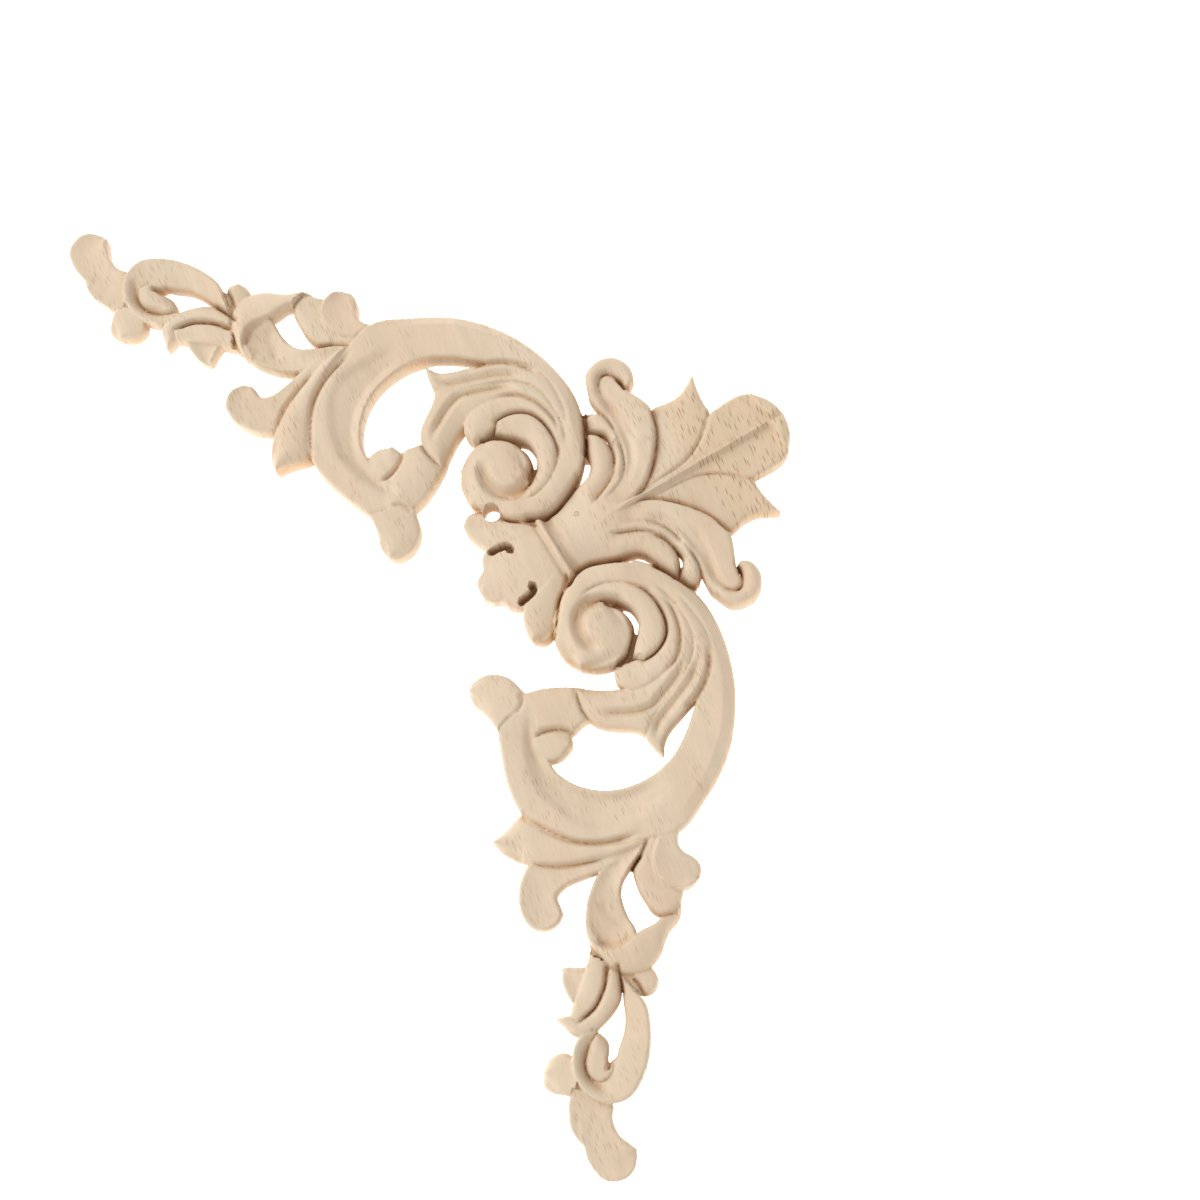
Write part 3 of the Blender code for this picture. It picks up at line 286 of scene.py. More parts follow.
def ribbon_leaf():
    """The leaf that folds back over itself, with a see-through gap at the fold."""
    behind = form(
        "back_leaf",
        [(-54.3, 88.5), (-55.9, 92.4), (-54.9, 94.4), (-53, 95.3)],
        [(-48.5, 90), (-49, 92.9), (-50.8, 94.8), (-52.6, 95.3)],
        (5.0, 5.4), (-0.4, 0.1, -0.4))
    scoop = form(
        "ribbon_scoop",
        [(-48, 80.5), (-47, 85.6), (-43.6, 87.8), (-40.6, 86.6), (-39.2, 85), (-36.4, 82.8),
         (-33.9, 81.5), (-31.2, 81.2), (-27.5, 82.2), (-24, 83.6), (-19, 85.5)],
        [(-47.7, 79.5), (-46, 76.6), (-43.3, 75.2), (-41, 74.6), (-38, 74.2), (-33.8, 74.4), (-30, 75.2),
         (-26, 76.5), (-21, 78.5)],
        (5.6, 5.4, 5.8, 6.5, 7.1, 7.5), (0.6, -0.5, 0.5), 0.6)
    back = form(
        "ribbon_back",
        [(-45.6, 75.9), (-48.8, 79.2), (-51.2, 83), (-52.1, 86.8), (-50.8, 90.6), (-48, 93.1),
         (-44.8, 94.3), (-42, 94.5), (-39.5, 95), (-37, 96.3), (-35, 96.6), (-32.5, 96), (-29, 95.9)],
        [(-45, 76.3), (-46.5, 78.4), (-47, 81.3), (-46.7, 83.4), (-45.6, 84.9), (-43.8, 86.4),
         (-42.2, 87.5), (-40.6, 89.1), (-39, 91), (-37.5, 92), (-36.2, 92), (-33, 93.4), (-29, 94.4)],
        (6.2, 7.1, 7.4, 7.5, 7.4), (-1.2, 0, 0.1), 0.3, 4.0, (2.0, 0.6))
    return [behind, scoop, back]


def scale_leaves():
    """Two overlapping scales that lie against the big scroll."""
    lower = form(
        "scale_lower",
        [(-16, 84.8), (-23.7, 83.8), (-27.5, 83), (-32, 85.3), (-34.4, 87.6), (-36.4, 90), (-36.9, 92.6),
         (-35.7, 95)],
        [(-16, 88.5), (-20, 87.6), (-24.5, 88.2), (-28, 91), (-28.5, 94), (-29.5, 95.4), (-32, 96),
         (-35.4, 95.8)],
        (7.4, 6.9, 6.4), (-0.2, -0.1, -0.5), 0.8, 4.0, (2.2, 1.5))
    upper = form(
        "scale_upper",
        [(-15.5, 86.5), (-19.7, 86.9), (-21.8, 86.6), (-24, 87), (-26, 87.8), (-27.8, 89.2), (-29, 90.9),
         (-29.6, 93), (-29.2, 95.8), (-27.8, 97.8), (-26, 98.7)],
        [(-12.5, 92.6), (-16.3, 91.5), (-19.1, 92.2), (-20.5, 93.9), (-21.1, 96.3), (-22.3, 98.2),
         (-24, 99), (-25.6, 98.8)],
        (8.0, 7.7, 7.2, 6.6), (0.5, -0.4, -0.5), 0.5)
    return [lower, upper]


def curl_and_spear():
    """The leaf that ends in a hook and the spear leaf beside the scroll."""
    curl = form(
        "curl_leaf",
        [(-25.5, 81), (-30.3, 74.9), (-32.8, 71.4), (-35.5, 68), (-38.3, 66.7), (-40, 67.9), (-41.6, 69)],
        [(-23, 78), (-27, 71), (-30.6, 63), (-31.6, 58.8), (-34.5, 57.7), (-39, 57.5), (-44.2, 59.4),
         (-46.9, 62.6), (-46.6, 66.4), (-44.4, 68.5), (-42, 69.1)],
        (7.6, 6.6, 6.2, 5.6), (-0.1, -0.4, 0.1), 0.6)
    spear = form(
        "spear_leaf",
        [(-21, 84), (-26.2, 76.5), (-29.9, 68.5), (-31.8, 61.5), (-32.3, 56), (-31.2, 51.3),
         (-29.3, 48.2)],
        [(-17.5, 86), (-21.3, 78), (-23, 69), (-22, 60), (-20.4, 55), (-21.6, 53.1), (-25.6, 50.8),
         (-28.9, 48.3)],
        (7.8, 7.2, 6.6, 6.0), (-0.5, 0.4, -1.2), 0.6)
    return [curl, spear]


def scroll():
    """The big C scroll, its foot, the stalk across its mouth and the small leaf inside it."""
    foot = form(
        "foot",
        [(-9, 46), (-3, 42.9), (0.4, 39), (2.6, 35), (5.2, 33.2)],
        [(5.5, 50.5), (8, 46.7), (10.8, 41.5), (10.2, 36.6), (7.4, 33.6), (5.6, 33.2)],
        (7.6, 7.2, 6.2), (-0.4, 0.2, -0.4), 0.1)
    stalk = form(
        "stalk",
        [(-3, 46), (-1.5, 52.5), (0.9, 58.5), (0.6, 60.2), (4.2, 62.8), (7, 65.5)],
        [(7.8, 46.8), (10, 50.5), (12.3, 58.5), (12.4, 62), (11, 65.5)],
        (7.2, 7.4, 7.2), (-0.4, 0.2, -0.8), 0.5)
    mouth = [(5, 50), (-1, 52.5), (-5.5, 55.8), (-9.3, 59.5), (-11.2, 66.5), (-9.8, 74.5), (-5, 81.5),
             (1, 85.8)]
    band = form(
        "scroll_band",
        [(3, 46), (-2, 43), (-8.5, 45.2), (-16.2, 49.2), (-21.8, 54.5), (-24.6, 64), (-23.6, 75.5),
         (-20, 84), (-17.5, 89.5), (-14, 92.9)] + SCROLL_BACK + [(46.3, 64), (44, 56.5), (40.2, 51.6)],
        mouth + [(8, 87.6), (16.5, 88.2), (24.5, 88.6), (31.2, 85.6), (36.6, 80.2), (39, 73.4),
                 (38.8, 65), (37.2, 59.2), (34.2, 57.6)],
        (7.2, 7.3, 7.4, 7.8, 8.3, 8.9, 9.0), (-0.1, 0, -0.4), 0.6)
    hollow = form(
        "scroll_hollow",
        [(4, 47.2), (-3, 48.6), (-8, 50.6), (-12.1, 52.8), (-15.5, 55.6), (-19, 60.8), (-21.3, 66),
         (-22, 71), (-20.6, 76.5), (-16, 82), (-10, 87.5)],
        mouth,
        (6.6, 6.7, 7.0, 7.6), (0.2, -0.9, -1.5), 0.0, 9.0, melt=3.0)
    leaf = form(
        "mouth_leaf",
        [(-4.5, 50.5), (-7, 57), (-5.4, 59.6), (-2, 61.4)],
        [(0.2, 51), (1.4, 57), (1, 60), (-1.7, 61.4)],
        (6.2, 6.6), (-0.4, 0.2, -0.1), 0.5, melt=1.2)
    return [foot, stalk, band, hollow, leaf]


def fronds():
    """The fluted leaf that spreads from the volute into the mouth of the scroll."""
    top = form(
        "frond_top",
        [(1.2, 83.6), (4.2, 83), (7.5, 83.6), (11, 85.3), (14.4, 87), (18, 89), (23.3, 90), (28.5, 89.2),
         (33.3, 86.4), (40.4, 78)],
        [(1.4, 82.6), (2.8, 80.3), (4.6, 78.3), (8, 78), (13, 80.2), (18, 82.4), (23, 84), (29, 84),
         (34, 80.5), (39.2, 75)],
        (7.0, 7.8, 8.5, 8.9, 8.9), (-0.6, 0, -0.2), 0.4)
    main = form(
        "frond",
        [(11.6, 59), (9, 60.2), (6.4, 62), (4.6, 65), (4.2, 67.6), (4.4, 70), (5, 73), (5.4, 76),
         (4.9, 78.2), (9.7, 79), (15, 81.4), (20, 83.4), (25.5, 84.8), (31.5, 83.6), (38, 77.4),
         (42, 70.8)],
        [(12.1, 59.4), (12.6, 62), (13.2, 65.5), (14.6, 70), (17, 74), (20.5, 77), (25, 78.2), (33, 77),
         (39.6, 69.4)],
        (7.0, 7.6, 7.9, 8.4, 8.8, 9.0), (-0.5, 0.2, -0.9), 0.5)
    curl = form(
        "frond_curl",
        [(39.6, 71.5), (37.1, 76.4), (34.3, 78.6), (31.1, 80.2), (28.2, 80.8), (25, 80.8), (21.5, 79.4),
         (17.6, 76.6), (15.2, 73.6), (14.6, 70.8), (15.8, 68), (18, 66.9)],
        [(40.3, 66), (38.5, 71.4), (36.5, 73.8), (33.7, 76), (30.6, 77.2), (27.9, 77), (25.1, 75.8),
         (23, 74), (22.4, 71.6), (21.2, 68.8), (20, 67.3), (18.4, 66.9)],
        (9.0, 8.9, 8.8, 8.4, 7.4), (-0.3, 0.2, -0.6), 0.4)
    return [top, main, curl]


def volute():
    """The coil at the end of the scroll, with its round eye."""
    eye = form(
        "volute_eye",
        [(17, 59), (17.6, 63), (19.6, 66.6), (22.7, 68.4), (25.2, 68.9), (28, 68.8), (30.4, 67.7),
         (32.7, 65.8), (33.8, 63.4), (33.9, 61)],
        [(17.2, 58.4), (18.4, 54.4), (22, 50.8), (27, 49.3), (31.5, 50.4), (34.6, 54), (34.8, 59)],
        (8.4, 9.2, 9.2, 9.0), (-0.8, 0.3, -0.8), 0.8)
    rim = form(
        "volute_rim",
        [(46.4, 68), (46.1, 63.5), (44, 57.2), (40.2, 51.8), (36.2, 49.8), (31.5, 49.3), (26.5, 49.4),
         (22, 51)],
        [(40, 67), (38.8, 61), (36, 57.4), (33, 55.2), (29.4, 54.6), (26, 55.4), (23.6, 56.8)],
        (9.0, 9.2, 9.2, 9.0, 8.8), (-0.7, 0.2, -0.3), 0.5, 7.0)
    coil = form(
        "inner_coil",
        [(22.6, 73.6), (25.1, 75.7), (27.9, 76.8), (30.6, 77), (33.7, 75.8), (36.5, 73.6), (38.5, 71.2),
         (39.7, 68.6), (40.2, 65), (39.4, 60.5), (37.2, 56.8), (34, 54.2)],
        [(22.7, 70.6), (25.6, 70.2), (28.6, 70.4), (31, 70), (33.3, 68.6), (34.9, 66.4), (35.5, 63.2),
         (34.9, 60), (33.6, 57.8), (31.4, 56)],
        (8.6, 9.2, 9.3, 9.1, 8.8), (-0.3, 0.2, -0.7), 0.6)
    return [eye, rim, coil]


def claw():
    """The lobed claw at the inner corner, on the diagonal."""
    lobe = form(
        "claw_lobe",
        [(41.2, 49.2), (36, 49.6), (28, 49.3), (23.8, 49.9), (21.4, 48.4), (20.9, 45.6)],
        [(46.4, 43.6), (41, 41.6), (34.5, 42.3), (29, 41.2), (25.4, 42), (22.6, 43.6), (21.1, 45.2)],
        (8.0, 7.3, 6.4), (-0.7, 0.2, -0.2), 0.4)
    edge = [(41.5, 48.2), (33, 44), (28.5, 40.4), (28, 38), (29, 35.4), (28.3, 33.4), (28.6, 31.2),
            (29.8, 29.8)]
    middle = form("claw_middle", edge, flipped(edge), (8.1, 7.5, 6.4), (-0.2, 0.1, -0.2), 0.0)
    return [lobe, middle]


def stem():
    """The collar across the diagonal and the stem that flares above it."""
    edge = [(39.5, 50.9), (43, 54.8), (46.5, 61.5), (50.5, 69), (53.5, 78)]
    flare = form("stem", edge, flipped(edge), (8.2, 8.6, 8.2), (-1.5, 0.7, -1.5), 1.0, 6.0)
    low = [(38.4, 50.4), (41, 47.7), (44.3, 44.3), (47.7, 41), (50.4, 38.4)]
    high = [(39.8, 51.7), (42.9, 48.4), (45.7, 45.7), (48.4, 42.9), (51.7, 39.8)]
    collar = form("collar", low, high, (8.8, 9.3, 9.4, 9.3, 8.8), (-0.9, 0.2, -0.9), 0.5)
    return [flare, collar]


def corner_leaves():
    """The leaves that fan out from the stem towards the outer corner."""
    inner = form(
        "flank_inner",
        [(45.8, 60), (48.6, 66), (46.6, 71.5), (44.6, 75.8)],
        [(51, 56), (54.6, 66), (54, 70.5), (52.3, 73.6), (50.3, 75.4), (47.8, 76.3), (45, 76.2)],
        (8.6, 8.2, 7.4), (-0.9, 0.2, -0.9))
    outer = form(
        "flank_outer",
        [(53, 72), (50, 76.5), (45.2, 77), (43.6, 79.4)],
        [(57, 75), (53.4, 79), (50.6, 80.4), (48.2, 81.8), (45.6, 81.6), (43.9, 79.9)],
        (8.2, 7.4, 6.8), (-0.9, 0.2, -0.7))
    side = form(
        "side_leaf",
        [(53, 57), (56.9, 66.3), (56.4, 70.4), (55, 74), (52, 77.8), (49.5, 80.4), (46, 83), (43, 86),
         (43, 90)],
        [(60.5, 58.5), (63.4, 65), (63.7, 70), (63.4, 75.2), (62.9, 79.6), (61.5, 83.7), (59.6, 86),
         (56, 88), (51.4, 89.8), (47.5, 93)],
        (8.8, 8.4, 8.0, 7.4, 6.8), (-0.2, -0.2, -0.2), 0.7)
    curl = form(
        "side_curl",
        [(44.4, 84.6), (42.1, 88), (41.2, 91.2), (42.6, 94.4), (45.1, 96.5), (48, 97), (51.2, 95.8),
         (53.2, 93), (52.8, 90.6)],
        [(46.6, 86.2), (45.2, 88.6), (44.8, 90.8), (46, 92.2), (48, 92.2), (49.6, 91.5), (50.6, 90.9),
         (50.9, 90.4), (51.2, 89.8)],
        (7.2, 7.4, 7.4, 7.2, 6.6), (-0.5, 0.2, -0.8), 0.5, 3.0)
    lobe = form(
        "pointed_lobe",
        [(59, 58), (62.8, 66), (63, 75), (61.9, 81), (59.4, 86), (63.1, 88.9), (65.6, 92), (67.2, 97.3)],
        [(65, 63), (69.5, 70.5), (72.2, 76), (73.7, 82), (74, 88.6), (72.4, 90.2), (70, 93.2),
         (67.5, 97.3)],
        (7.4, 6.6, 6.2, 5.6), (-0.9, 0.1, 0.0), 0.5)
    edge = [(61, 63), (67, 69.5), (71.2, 74.6), (73.2, 80), (73.9, 87.6), (76.2, 90.6), (79, 93.6)]
    edge = edge + arc(LEAF_END, LEAF_END_RADII, (104, 48), 5)
    centre = form("centre_leaf", edge, flipped(edge), (7.4, 6.8, 6.4, 6.2), (-0.2, -0.1, -0.2), 0.3)
    rim = form(
        "leaf_rim",
        arc(LEAF_END, LEAF_END_RADII, (94, 38)),
        [(82.6, 95), (84.2, 92.9), (86.4, 91.4), (88.6, 90.4), (89.9, 88.8)],
        (6.8, 7.3, 7.4), (-0.8, 0.3, -0.2), 0.7, 3.0)
    return [inner, outer, side, curl, lobe, centre, rim]


def carving():
    """Every form of one arm and of the motif on the diagonal, lowest first."""
    groups = (grounds, tip_leaf, leaflet, loop, ribbon_leaf, scale_leaves, curl_and_spear, scroll, fronds,
              volute, claw, stem, corner_leaves)
    return [piece for group in groups for piece in group()]


def gouge(points, width, depth, start=True, end=True, tool="vee"):
    """A cut along a line; start and end say whether it fades out there, and a negative depth is a rib.

    The tool is vee for a sharp crease, round for a soft hollow, chisel for a slot with steep walls
    and bevel for a flat slope.
    """
    return dict(points=points, width=width, depth=depth, start=start, end=end, tool=tool)


def creases():
    """The cuts that part the leaves and flute them."""
    return [
        # Loop, leaflet and back leaf
        gouge([(-79.6, 91), (-78.9, 87.4), (-77.2, 84.4), (-74.3, 82.8), (-71, 83), (-69, 84)], 1.5, 1.2),
        gouge([(-75, 88.8), (-73, 88.5), (-71.6, 88.3)], 0.9, 1.6, end=False),
        gouge([(-51.6, 82.5)] + LEAFLET_GROOVE + [(-65.8, 78.9)], 0.9, 1.9, start=False),
        gouge([(-50.5, 85), (-54, 86.6), (-57.5, 88)], 0.9, 1.6, start=False),
        gouge([(-55.6, 92.6), (-53.4, 90.6), (-52.3, 88.6)], 0.9, 1.6, start=False),
        # Ribbon leaf
        gouge([(-46, 78), (-46.6, 81.4), (-45.4, 84.4), (-42.6, 86.8)], 1.2, 0.5),
        gouge([(-41.5, 86), (-39.6, 81), (-36.5, 77)], 2.2, 0.4, tool="round"),
        # Scale leaves, curl leaf and spear leaf
        gouge([(-27.8, 82.5), (-25.8, 83.3), (-23.4, 84.2)], 0.7, 2.2, start=False),
        gouge([(-26.2, 76.6), (-28.3, 72.5), (-30.1, 68.7), (-31.5, 64.6), (-32.2, 58.5)], 1.1, 0.9),
        gouge([(-18.2, 84), (-20, 80.7), (-22.2, 76.8), (-23.8, 72.4), (-24.4, 67.5), (-23.4, 61),
               (-21.2, 54.2)], 1.2, 1.4, end=False),
        # Mouth leaf, foot and back of the scroll
        gouge([(-2.6, 51.6), (-0.6, 53.4), (0.8, 56), (1.4, 58.2), (1.2, 60.6)], 1.0, 1.2, end=False),
        gouge([(2.2, 46.2), (5.4, 46.9), (8.2, 45.6)], 1.0, 0.7),
        gouge([(-17, 91.4)] + SCROLL_BACK + [(46.4, 65)], 2.9, 1.5, tool="bevel"),
        # Fluted fronds
        gouge([(4.6, 64.4), (6.4, 62), (9, 60.2), (11.8, 59)], 0.9, 0.5, start=False),
        gouge([(14.2, 86.6), (17.9, 88.3), (20.5, 89), (23.3, 89.2), (26.2, 88.9), (30, 87.7)],
              1.1, 1.3, start=False),
        gouge([(3.2, 81.6), (5.9, 80.6), (8.6, 80.6), (12.4, 82.2), (16.2, 83.9), (20, 85.5), (24, 86.3),
               (27.5, 86.4)], 1.8, 1.2),
        gouge([(8.3, 63.6), (7.8, 67.5), (8.5, 70.7), (9.4, 73.8), (10.6, 76.4), (12.1, 78.2),
               (15.1, 79.7), (18.3, 81.2), (22.1, 82.6), (26.5, 83.3)], 1.7, 1.4),
        gouge([(20, 78.6), (22.5, 80.2), (25.4, 81.1), (28.2, 81.1), (31.1, 80.4), (34.3, 78.8),
               (37.1, 76.6), (39.3, 74)], 1.0, 1.1),
        # Volute, its eye and its coil
        gouge([(22.4, 73.4), (25.1, 75.8), (27.9, 77), (30.6, 77.2), (33.7, 76), (36.5, 73.8),
               (38.5, 71.4), (39.7, 68.8), (40.2, 64.2)], 1.0, 1.1, start=False),
        gouge([(23.1, 63.6), (22.7, 60.4), (23.8, 57.8), (26.5, 55.9), (29.9, 55.3), (32.8, 57),
               (34.4, 60), (34.9, 63.2)], 2.4, 1.7, end=False, tool="round"),
        gouge([(20.4, 67.8), (23, 69.4), (26, 69.6), (29, 69.4), (31.6, 68.5), (33.8, 66.3),
               (34.7, 63.2)], 0.9, 4.2, start=False, end=False, tool="chisel"),
        gouge([(21.4, 69.4), (22.9, 71.6), (22.9, 73.6)], 0.9, 1.8, start=False),
        # Between the volute and its neighbours
        gouge([(22.6, 50.6), (29.2, 49.9), (32.1, 49.5), (35.4, 50.1), (37.9, 51.1)],
              0.9, 2.4, False, False),
        gouge([(36.6, 50.8), (40.4, 52.1), (42.6, 54.3), (44.1, 57.4), (45.4, 60.8), (46.3, 64)],
              1.1, 3.2, False, False),
        gouge([(46.2, 70.4), (45.4, 74), (44, 78.3), (43.3, 80.6)], 1.0, 3.0, False, False),
        # Claw and collar
        gouge([(29.9, 40.4), (30.8, 41.1), (32.1, 42.1), (33.4, 42.6), (34.4, 41.9)],
              1.0, 4.6, False, False, tool="chisel"),
        gouge([(38, 49.8), (40.6, 47.2), (43.9, 43.9)], 0.8, 0.5, False, False),
        gouge([(40.9, 52), (43.9, 49), (46.6, 46.6)], 1.7, 0.9, False, False, tool="round"),
        # Leaves of the outer corner, with the rib on the diagonal
        gouge([(58.4, 59.4), (62.2, 63.6), (63.4, 69.5), (63.3, 75.1), (62.4, 79.6), (60.9, 83.5),
               (59.4, 86.4)], 1.0, 0.8, end=False),
        gouge([(61.6, 63.8), (67.6, 69.9), (71.4, 75), (73.3, 80), (73.9, 84.4), (74, 88.6)],
              1.0, 0.4, end=False),
        gouge([(56.2, 56.2), (88.2, 88.2)], 0.65, -1.1, False, False, tool="chisel"),
        gouge([(46, 90.5), (45.6, 88.2), (47.4, 85.6), (51, 83.2), (55.3, 80), (58.6, 75.8)], 1.5, 0.9),
        gouge([(45.6, 86.8), (51, 81.8), (54.8, 78), (57.8, 72), (58, 64)], 1.9, 0.8, tool="round"),
        gouge([(49, 91.6), (50.4, 90.8), (51.8, 89.6)], 0.8, 2.2, end=False),
        gouge([(45, 87.6), (44.9, 90.4), (46, 92), (48, 92.1), (49.8, 91.2)], 0.9, 0.8, end=False),
        gouge([(45.6, 82.6), (48.9, 81.1), (50.6, 79.6), (52.6, 77.4)], 0.9, 1.0, start=False),
        gouge([(44.6, 75.8), (47.8, 76.2), (50.3, 75.4), (52.1, 73.5), (53.6, 70.9), (54.2, 67)],
              1.0, 1.1, start=False),
        gouge([(53, 76.4), (55, 73.8), (56.4, 70.4), (56.9, 65)], 0.9, 1.0),
    ]


def coil_slot():
    """The narrow opening that runs through the wood between the eye and the inner coil."""
    return form(
        "coil_slot",
        [(29.2, 70), (31.4, 69.8), (33.5, 68.3), (34.6, 66.6), (34.9, 65)],
        [(29.4, 69.2), (31.2, 68.4), (32.8, 66.9), (33.7, 65.6), (34, 64.7)],
        (0, 0))


def small_hole():
    """The small hole between the claw and the volute, through one arm only."""
    left = arc(HOLE_PLACE, HOLE_RADII, (250, 90))
    right = arc(HOLE_PLACE, HOLE_RADII, (-110, 90))
    return form("small_hole", left, right, (0, 0))


def outline(piece):
    """The closed outline of a form, down one rail and back up the other."""
    left = spline(piece["left"], RAIL_STEPS)
    right = spline(piece["right"], RAIL_STEPS)
    return np.vstack([left, right[::-1]])


def eased(t):
    """A smooth step from 0 to 1."""
    t = np.clip(t, 0, 1)
    return t * t * (3 - 2 * t)


def beside(x, y, line):
    """Distance from points to a line, how far along it they lie (0 to 1), and on which side."""
    lengths = np.linalg.norm(np.diff(line, axis=0), axis=1)
    starts = np.concatenate([[0], np.cumsum(lengths)])
    nearest = np.full(x.shape, np.inf)
    along = np.zeros(x.shape)
    side = np.ones(x.shape)
    for (ax, ay), (bx, by), start, length in zip(line[:-1], line[1:], starts, lengths):
        if length == 0:
            continue
        ex, ey = bx - ax, by - ay
        t = np.clip(((x - ax) * ex + (y - ay) * ey) / length ** 2, 0, 1)
        distance = (x - ax - t * ex) ** 2 + (y - ay - t * ey) ** 2
        closer = distance < nearest
        nearest = np.where(closer, distance, nearest)
        along = np.where(closer, (start + t * length) / starts[-1], along)
        side = np.where(closer, np.sign(ex * (y - ay) - ey * (x - ax)), side)
    return np.sqrt(nearest), along, side


def within(x, y, closed):
    """Which points lie inside a closed outline."""
    inside = np.zeros(x.shape, bool)
    for (ax, ay), (bx, by) in zip(closed, np.roll(closed, -1, axis=0)):
        if ay != by:
            crossing = (ay > y) != (by > y)
            inside ^= crossing & (x < (bx - ax) * (y - ay) / (by - ay) + ax)
    return inside


def near(x, y, line, margin):
    """Which points lie in the box around a line."""
    low = line.min(axis=0) - margin
    high = line.max(axis=0) + margin
    return (x > low[0]) & (x < high[0]) & (y > low[1]) & (y < high[1])


def edge_fall(distance, radius, drop):
    """How far a rounded edge falls, at a distance inside it."""
    q = 1 - np.clip(distance / radius, 0, 1)
    return drop * (1 - np.sqrt(1 - q * q))


def form_height(piece, x, y):
    """Height of one form at points, their distance inside its rails, and its hold on them.

    The hold comes in two parts: across the rails, and along the form, where an open end fades.
    """
    left = spline(piece["left"], RAIL_STEPS)
    right = spline(piece["right"], RAIL_STEPS)
    spine = (left + right) / 2
    half = np.linalg.norm(left - right, axis=1) / 2
    steps = np.linspace(0, 1, RAIL_STEPS)
    offset, along, side = beside(x, y, spine)
    middle = RAIL_STEPS // 2
    forward = spine[middle + 1] - spine[middle - 1]
    across = right[middle] - spine[middle]
    turn = np.sign(forward[0] * across[1] - forward[1] * across[0])
    width = np.maximum(np.interp(along, steps, half), NARROWEST)
    u = np.clip(turn * side * offset / width, -1, 1)
    at_left, at_middle, at_right = (CARVING_DEPTH * rise for rise in piece["section"])
    height = np.interp(along, np.linspace(0, 1, len(piece["crest"])), piece["crest"])
    tilt = (at_right - at_left) / 2
    bow = (at_left + at_right) / 2 - at_middle
    height = height + at_middle + tilt * u + bow * u * u
    to_left, to_right = beside(x, y, left)[0], beside(x, y, right)[0]
    to_rail = np.minimum(to_left, to_right)
    to_rail = np.where(within(x, y, np.vstack([left, right[::-1]])), to_rail, -to_rail)
    reach = np.linalg.norm(np.diff(spine, axis=0), axis=1).sum() / piece["blend"]
    ends = np.ones(x.shape)
    if half[0] > OPEN_END:
        ends = ends * eased(along * reach)
    if half[-1] > OPEN_END:
        ends = ends * eased((1 - along) * reach)
    height = height - edge_fall(to_rail, EDGE_RADIUS, CARVING_DEPTH * piece["crease"])
    if piece["shoulder"]:
        height = height - edge_fall(to_left, *piece["shoulder"])
    sides = eased((to_rail + SOFTNESS) / (SOFTNESS + piece["melt"]))
    return height, to_rail, sides, ends


def cut_profile(tool, wall):
    """Depth of a cut, as a share of its full depth, from its edge (0) to its middle (1)."""
    if tool == "vee":
        return wall ** VEE_POWER
    if tool == "chisel":
        return eased(CHISEL_STEEPNESS * wall)
    if tool == "bevel":
        return wall
    return eased(wall)


def cut_gouges(x, y, height):
    """Take the creases out of the heights."""
    for cut in creases():
        line = spline(cut["points"], RAIL_STEPS)
        box = near(x, y, line, cut["width"])
        if not box.any():
            continue
        offset, along, _ = beside(x[box], y[box], line)
        wall = cut_profile(cut["tool"], np.clip(1 - offset / cut["width"], 0, 1))
        if cut["start"]:
            wall = wall * eased(along / FADE)
        if cut["end"]:
            wall = wall * eased((1 - along) / FADE)
        height[box] -= CARVING_DEPTH * cut["depth"] * wall


def relief(x, y):
    """Height of the carving at points of the half with y >= x, and their distance inside it."""
    height = np.full(x.shape, OUTSIDE_HEIGHT)
    covered = np.full(x.shape, -np.inf)
    low = np.ones(x.shape, bool)
    for piece in carving():
        box = near(x, y, outline(piece), NEAR_MARGIN)
        if not box.any():
            continue
        new, inside, sides, ends = form_height(piece, x[box], y[box])
        old = height[box]
        old_inside = covered[box]
        hold = sides * np.where(low[box], 1, ends)
        blended = old + (new - old) * hold
        first = np.where(inside > old_inside, new, old)
        height[box] = np.where(old_inside >= 0, blended, first)
        covered[box] = np.maximum(old_inside, inside)
        low[box] = np.where(inside >= 0, piece["ground"], low[box])
    height = height - edge_fall(np.maximum(covered, 0), EDGE_RADIUS, EDGE_DROP)
    cut_gouges(x, y, height)
    return np.clip(height, LOWEST, HIGHEST), covered


def soften(values, weight, spread):
    """Blur a square field, counting only where the weight is, and the share of weight around."""
    reach = max(1, int(math.ceil(BLUR_REACH * spread)))
    steps = np.arange(-reach, reach + 1)
    kernel = np.exp(-0.5 * (steps / spread) ** 2)
    fields = [values * weight, weight.astype(float)]
    for axis in (0, 1):
        for k, field in enumerate(fields):
            total = np.zeros_like(field)
            for step, share in zip(steps, kernel):
                total += share * np.roll(field, step, axis=axis)
            fields[k] = total
    return fields[0] / np.maximum(fields[1], TINY), fields[1] / kernel.sum() ** 2


def carved_fields(step, sanding):
    """The steps of a square grid over the onlay, and four fields on it.

    They are the height, the distance inside the outline, how hollow it is and the share of wood around.
    """
    reach = DRAWING_SIDE / 2 + GRID_MARGIN
    line = np.arange(-reach, reach + step, step)
    x, y = np.meshgrid(line, line)
    upper = y >= x
    height = np.zeros(x.shape)
    covered = np.zeros(x.shape)
    height[upper], covered[upper] = relief(x[upper], y[upper])
    height = np.where(upper, height, height.T)
    covered = np.where(upper, covered, covered.T)
    solid = covered > -SANDING_MARGIN
    height = np.where(solid, soften(height, solid, sanding / step)[0], height)
    around, fill = soften(height, covered > 0, HOLLOW_SPREAD / step)
    hollow = np.clip((around - height) / HOLLOW_DEPTH, 0, 1)
    for hole, arms in ((coil_slot(), (0, 1)), (small_hole(), (0,))):
        for arm in arms:
            px, py = (x, y) if arm == 0 else (y, x)
            covered = np.minimum(covered, -inside_distance(px, py, outline(hole)))
    return line, height, covered, hollow, fill


